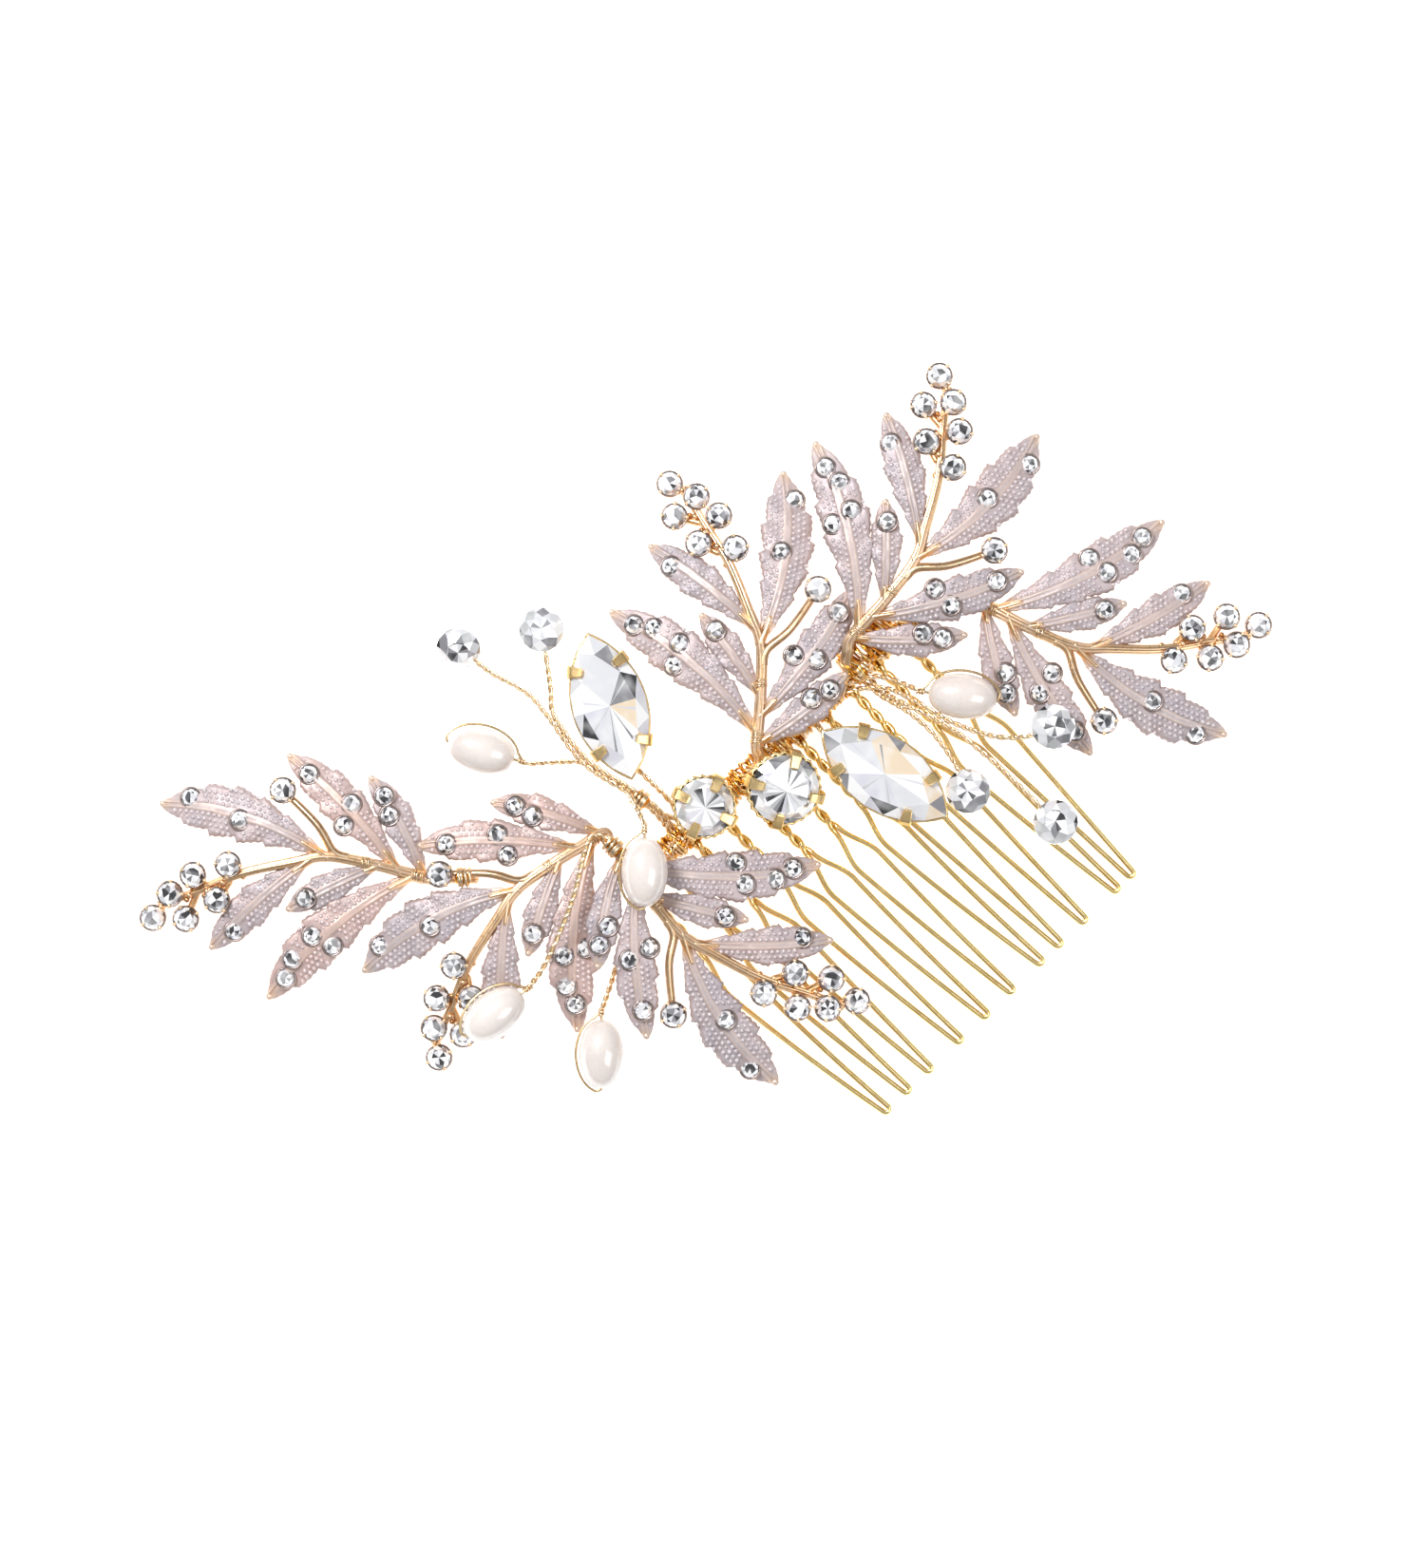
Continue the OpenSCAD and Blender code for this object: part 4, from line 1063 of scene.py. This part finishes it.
def make_marquise(number):
    centre, turn, stem = MARQUISES[number]
    go = stander(centre, turn)
    b = Build()
    n = 24
    outline = lens_outline(1.0, n)
    levels = [(0.78, 0.0), (0.84, 0.35), (0.93, 1.3), (0.99, 2.2), (1.035, 2.75), (1.035, 2.95),
              (1.0, 3.0), (0.96, 2.7), (0.9, 1.6), (0.8, 0.5)]
    rings = [np.insert(outline * scale, 2, z, axis=1) for scale, z in levels]
    b.add(go(np.concatenate(rings)), skin_faces(len(levels), 2 * n, joined=True), PALE_GOLD)
    reach = MARQUISE[0] * 0.29
    r = (MARQUISE[0] ** 2 + MARQUISE[1] ** 2) / 4 / MARQUISE[1]
    y = sqrt(r * r - reach * reach) - r + MARQUISE[1] / 2
    slope = atan2(reach, r)
    bends = [(-0.25, 0.6), (-0.42, 2.2), (-0.42, 3.4), (-0.15, 4.0), (0.6, 4.35), (1.45, 4.62)]
    for sx, sy in ((-1, -1), (-1, 1), (1, -1), (1, 1)):
        inward = unit(arr([-sx * sin(slope) * 0.9, -sy, 0]))
        add_claw(b, arr([sx * reach, sy * y, 0]), inward, bends, 1.7, 0.42, go)
    twisted_pair(b, smooth(stem, 6), CHAMPAGNE, phase=number)
    name = "marquise_%d" % (number + 1)
    b.make(name + "_claws", SETTING_GOLD, "stone_setting", name + "_setting")

    outer = lens_outline(1.0, 8)
    cut = Facets((0, 0, MARQUISE_CUP + 2.02))
    inner = [cut.point((x, y, MARQUISE_CUP + 1.55)) for x, y in lens_outline(0.72, 4)]
    girdle, edge_low, back, foot = (
        [cut.point((x * scale, y * scale, MARQUISE_CUP + z)) for x, y in outer]
        for scale, z in ((1.0, 0.62), (1.0, 0.15), (0.9, 0.0), (0.3, -1.8)))
    rng = random.Random(71 + number * 4)
    # Painted reflections: light and dark tones for the table's and the belt's facets; the slivers, the
    # facets beside them and the lower facets get tones picked at random.
    table = [[PALE, WHITE, LAVENDER, PALE, WHITE, PEACH, GREY, PALE],
             [WHITE, LAVENDER, LAVENDER, PALE, WHITE, PEACH, PEACH, PALE]][number]
    belt = [[PALE, WHITE, DARK, LAVENDER, PALE, WHITE, DARK, GREY],
            [PALE, WHITE, DARK, PALE, PEACH, WHITE, PEACH, SMOKE]][number]
    for k in range(8):
        start, end = inner[k], inner[(k + 1) % 8]
        between = [cut.point(arr(cut.verts[start]) * (1 - share) + arr(cut.verts[end]) * share)
                   for share in (0.62, 0.72, 0.82)]
        edge = [start] + between + [end]
        sliver = rng.choice((SMOKE, LAVENDER, PALE, table[k], GREY))
        for n1, n2, tone in zip(edge, edge[1:], (table[k], sliver, table[k], table[k])):
            cut.facet(tone, 0, n1, n2)
        a, c, e = girdle[2 * k], girdle[2 * k + 1], girdle[(2 * k + 2) % 16]
        cut.facet(belt[k], start, c, end, *between[::-1])
        cut.facet(rng.choice([WHITE, PALE, LAVENDER, GREY]), start, a, c)
        cut.facet(rng.choice([WHITE, PALE, WHITE, PEACH]), end, c, e)
    for k in range(16):
        k2 = (k + 1) % 16
        for high, low in ((girdle, edge_low), (edge_low, back), (back, foot)):
            cut.facet(rng.choice([PALE, WHITE, GREY]), low[k], low[k2], high[k2], high[k])
    cut.facet(GREY, *foot[::-1])
    b = Build()
    cut.add_to(b, go)
    b.make(name + "_cut_stone", CENTRE_STONE, "clear_centre_stone", name + "_stone")


def make_round(number):
    centre, turn, lean, stem = ROUNDS[number]
    d = ROUND_D[number]
    h = d * 0.3
    spin, tip = stander((0, 0, 0), turn), stander(centre, 0, -lean)

    def go(v):
        return tip(spin(v))

    b = Build()
    profile = [(0.1, 0.0), (d * 0.3, 0.0), (d * 0.36, h * 0.25, 0.5), (d / 2 + 0.05, h * 0.75, 1.0),
               (d / 2 + 0.3, h - 0.1, 1.0), (d / 2 + 0.28, h + 0.25, 0.6), (d / 2 + 0.05, h + 0.3),
               (d / 2 - 0.2, h), (d * 0.28, 0.5), (0.1, 0.5)]
    revolve(b, go, profile, PALE_GOLD, 96, flutes=24, flute_depth=0.035)
    top = h + d * 0.13
    bends = [(d * 0.075, h * 0.35), (-0.25, h * 0.7), (-0.5, h + 0.3), (-0.35, top + 0.3),
             (0.35, top + 0.62), (1.65, top + 0.8)]
    for a in np.radians([0, 90, 180, 270]):
        out = arr([cos(a), sin(a), 0])
        add_claw(b, out * d / 2, -out, bends, 1.75, 0.5, go)
    twisted_pair(b, smooth(stem, 6), CHAMPAGNE, phase=number + 2)
    name = "round_%d" % (number + 1)
    b.make(name + "_basket", SETTING_GOLD, "stone_setting", name + "_setting")

    b = Build()
    rng = random.Random(91 + number)

    def put(v):
        return go(v + (0, 0, h + 0.02))

    brilliant(b, put, d * 0.985, rng, BIG_STONE_REFLECTIONS, 0.36, (0.012, 0.06, 0.17), -0.16, 0.012)
    # Painted reflections for the star seen through the table.
    star = [WHITE, DARK, PALE, WHITE, GREY, SMOKE, LAVENDER]
    add_painted_star(b, put, d * 0.35, 0.172 * d, rng, star, 30)
    b.make(name + "_cut_stone", CENTRE_STONE, "clear_centre_stone", name + "_stone")


# Pearls and crystals


def make_pearl(number):
    centre, angle, side, stem = PEARLS[number]
    length, wide = PEARL
    spin = stander(centre, angle)

    def go(v):
        """From along, across and up from the pearl to the comb."""
        return spin(arr(v) * [1, side, 1])

    rng = random.Random(5 + number)
    phases = [rng.uniform(0, 6.28) for _ in range(4)]
    rows, cols = 40, 48
    verts = []
    for i in range(rows + 1):
        t = pi * (0.03 + 0.94 * i / rows)
        for u in circle(cols):
            uneven = 1 - 0.012 * (1 + sin(2 * u + phases[0]) * sin(t)
                                  + 0.6 * sin(3 * t + phases[1]) + 0.5 * sin(u + phases[2]))
            r = wide / 2 * sin(t) ** 0.9 * uneven
            verts.append((-length / 2 * cos(t) * 0.998, r * cos(u), r * sin(u)))
    for x in (length / 2 * 0.96, -length / 2 * 0.96):
        verts += [(x, BORE_R * cos(u), BORE_R * sin(u)) for u in circle(cols)]
    b = Build()
    b.add(go(verts), skin_faces(rows + 3, cols, joined=True), (0.9, 0.86, 0.8, 0))
    name = "pearl_%d" % (number + 1)
    b.make(name + "_nacre", NACRE, "rice_pearl", name, name + "_bead")

    b = Build()
    over, beside = length / 2 + 0.45, wide / 2 + 0.35
    inner = length / 2 + 1
    path = smooth(stem[::-1] + [go((inner, 0, 0))], 8)
    twisted_pair(b, path, CHAMPAGNE, phase=number * 1.3)
    through = resample([(x, 0, 0) for x in (inner, length / 2 + 0.3, -length / 2 - 0.1)], 0.4)[0]
    around = [(-over * cos(t), beside * sin(t), 0) for t in np.radians(np.arange(12, 168, 8))]
    loop = smooth([through[-1]] + around + [(over + 0.55, 0.25, 0)], 2)[1:]
    line = go(np.concatenate([through, loop]))
    sweep(b, line, STRAND_D / 2 + 0.03, 8, (0.74, 0.58, 0.34, 1))
    shares = [k / 45 for k in range(46)]
    turns = [2 * pi * 2.6 * t for t in shares]
    knot = [(inner - 0.5 + 1.1 * t, 0.3 * cos(a), 0.3 * sin(a)) for t, a in zip(shares, turns)]
    sweep(b, go(knot), KNOT_R, 7, CHAMPAGNE)
    b.make(name + "_twist", WIRE_GOLD, "fine_wire", name + "_wire")


def make_crystal(number):
    centre, (rx, ry), stem = CRYSTALS[number]
    centre = arr(centre)
    d = CRYSTAL_D
    rng = random.Random(51 + number * 3)
    m = turned(1, ry) @ turned(0, rx) @ turned(2, rng.uniform(0, 45))

    def put(v):
        return v @ m.T + centre

    b = Build()
    brilliant(b, put, d * 0.99, rng, CRYSTAL_REFLECTIONS, 0.26, (-0.04, 0.04, 0.215), -0.29, 0.01)
    # Painted reflections for the star seen through the table.
    star = [WHITE, DARK, PALE, GREY, PALE, WHITE, DARK]
    add_painted_star(b, put, d * 0.25, 0.218 * d, rng, star, 12)
    name = "crystal_%d" % (number + 1)
    b.make(name + "_cut", CRYSTAL, "crystal_bead", name)

    b = Build()
    v = unit(arr(stem[0]) - centre)
    path = smooth([centre + v * (d / 2 + 0.1)] + stem, 8)
    twisted_pair(b, path, CHAMPAGNE, phase=number * 2.1)
    end = [centre + v * (d / 2 + past) for past in (-1.05, -0.3, 0.5)]
    sweep(b, end, LOOSE_R, 8, CHAMPAGNE)
    b.make(name + "_twist", WIRE_GOLD, "fine_wire", name + "_wire")


for index in range(11):
    make_tooth(index)
make_spine()
for index in range(len(SPRAYS)):
    make_spray(index)
for index in range(2):
    make_marquise(index)
    make_round(index)
for index in range(5):
    make_pearl(index)
    make_crystal(index)


# Stage, light and camera


def emitter(name, size, at, power):
    """A square light that faces the origin."""
    light = bpy.data.lights.new(name, "AREA")
    light.shape = "SQUARE"
    light.size = size
    light.energy = power
    obj = linked(name, light)
    obj.location = at
    obj.rotation_euler = (-Vector(at)).to_track_quat("-Z", "Y").to_euler()


def make_stage():
    me = bpy.data.meshes.new("floor")
    half = 6.0
    me.from_pydata([(x * half, y * half, 0) for x, y in ((-1, -1), (1, -1), (1, 1), (-1, 1))], [],
                   [(0, 1, 2, 3)])
    floor = linked("floor", me)
    floor.location.z = -0.0002
    mat, nt, bsdf = nodes_of("floor_white", Roughness=0.9, Specular_IOR_Level=0.1,
                             Emission_Color=(1, 1, 1, 1), Emission_Strength=0.8)
    shade = cloud(nt, 3, 1, 0.0, 1.0)
    white = blend(nt, shade, (0.93, 0.93, 0.93, 1), (0.95, 0.95, 0.95, 1))
    nt.links.new(white, bsdf.inputs["Base Color"])
    me.materials.append(mat)

    world = bpy.data.worlds.new("studio")
    world.use_nodes = True
    nt = world.node_tree
    back = nt.nodes["Background"]
    coord = nt.nodes.new("ShaderNodeTexCoord")
    split = nt.nodes.new("ShaderNodeSeparateXYZ")
    nt.links.new(coord.outputs["Generated"], split.inputs[0])
    ramp = nt.nodes.new("ShaderNodeValToRGB")
    low, high = ramp.color_ramp.elements
    low.position, low.color = 0.02, (0.30, 0.29, 0.29, 1)
    high.position, high.color = 0.75, (1, 1, 1, 1)
    nt.links.new(split.outputs["Z"], ramp.inputs["Fac"])
    nt.links.new(ramp.outputs["Color"], back.inputs["Color"])
    back.inputs["Strength"].default_value = 0.47
    bpy.context.scene.world = world

    emitter("key", 0.3, (0.0, 0.55, 0.8), 9.0)
    emitter("fill", 0.6, (0.3, -0.6, 0.9), 3.5)
    view = bpy.context.scene.view_settings
    view.view_transform = "Standard"
    view.look = "None"
    view.exposure = 0.0


def make_camera():
    cam = bpy.data.cameras.new("camera")
    distance = 1.2
    view_height = 0.2112
    cam.sensor_width = 36.0
    cam.lens = cam.sensor_width * distance / view_height
    cam.clip_start, cam.clip_end = 0.05, 20
    obj = linked("camera", cam)
    aim = (arr([-10.5, 2.9, 4.0]) + ORIGIN_SHIFT) * MM
    obj.location = (aim[0], aim[1], aim[2] + distance)
    obj.rotation_euler = (0, 0, radians(-43.9))
    bpy.context.scene.camera = obj


make_stage()
make_camera()
bpy.context.view_layer.update()
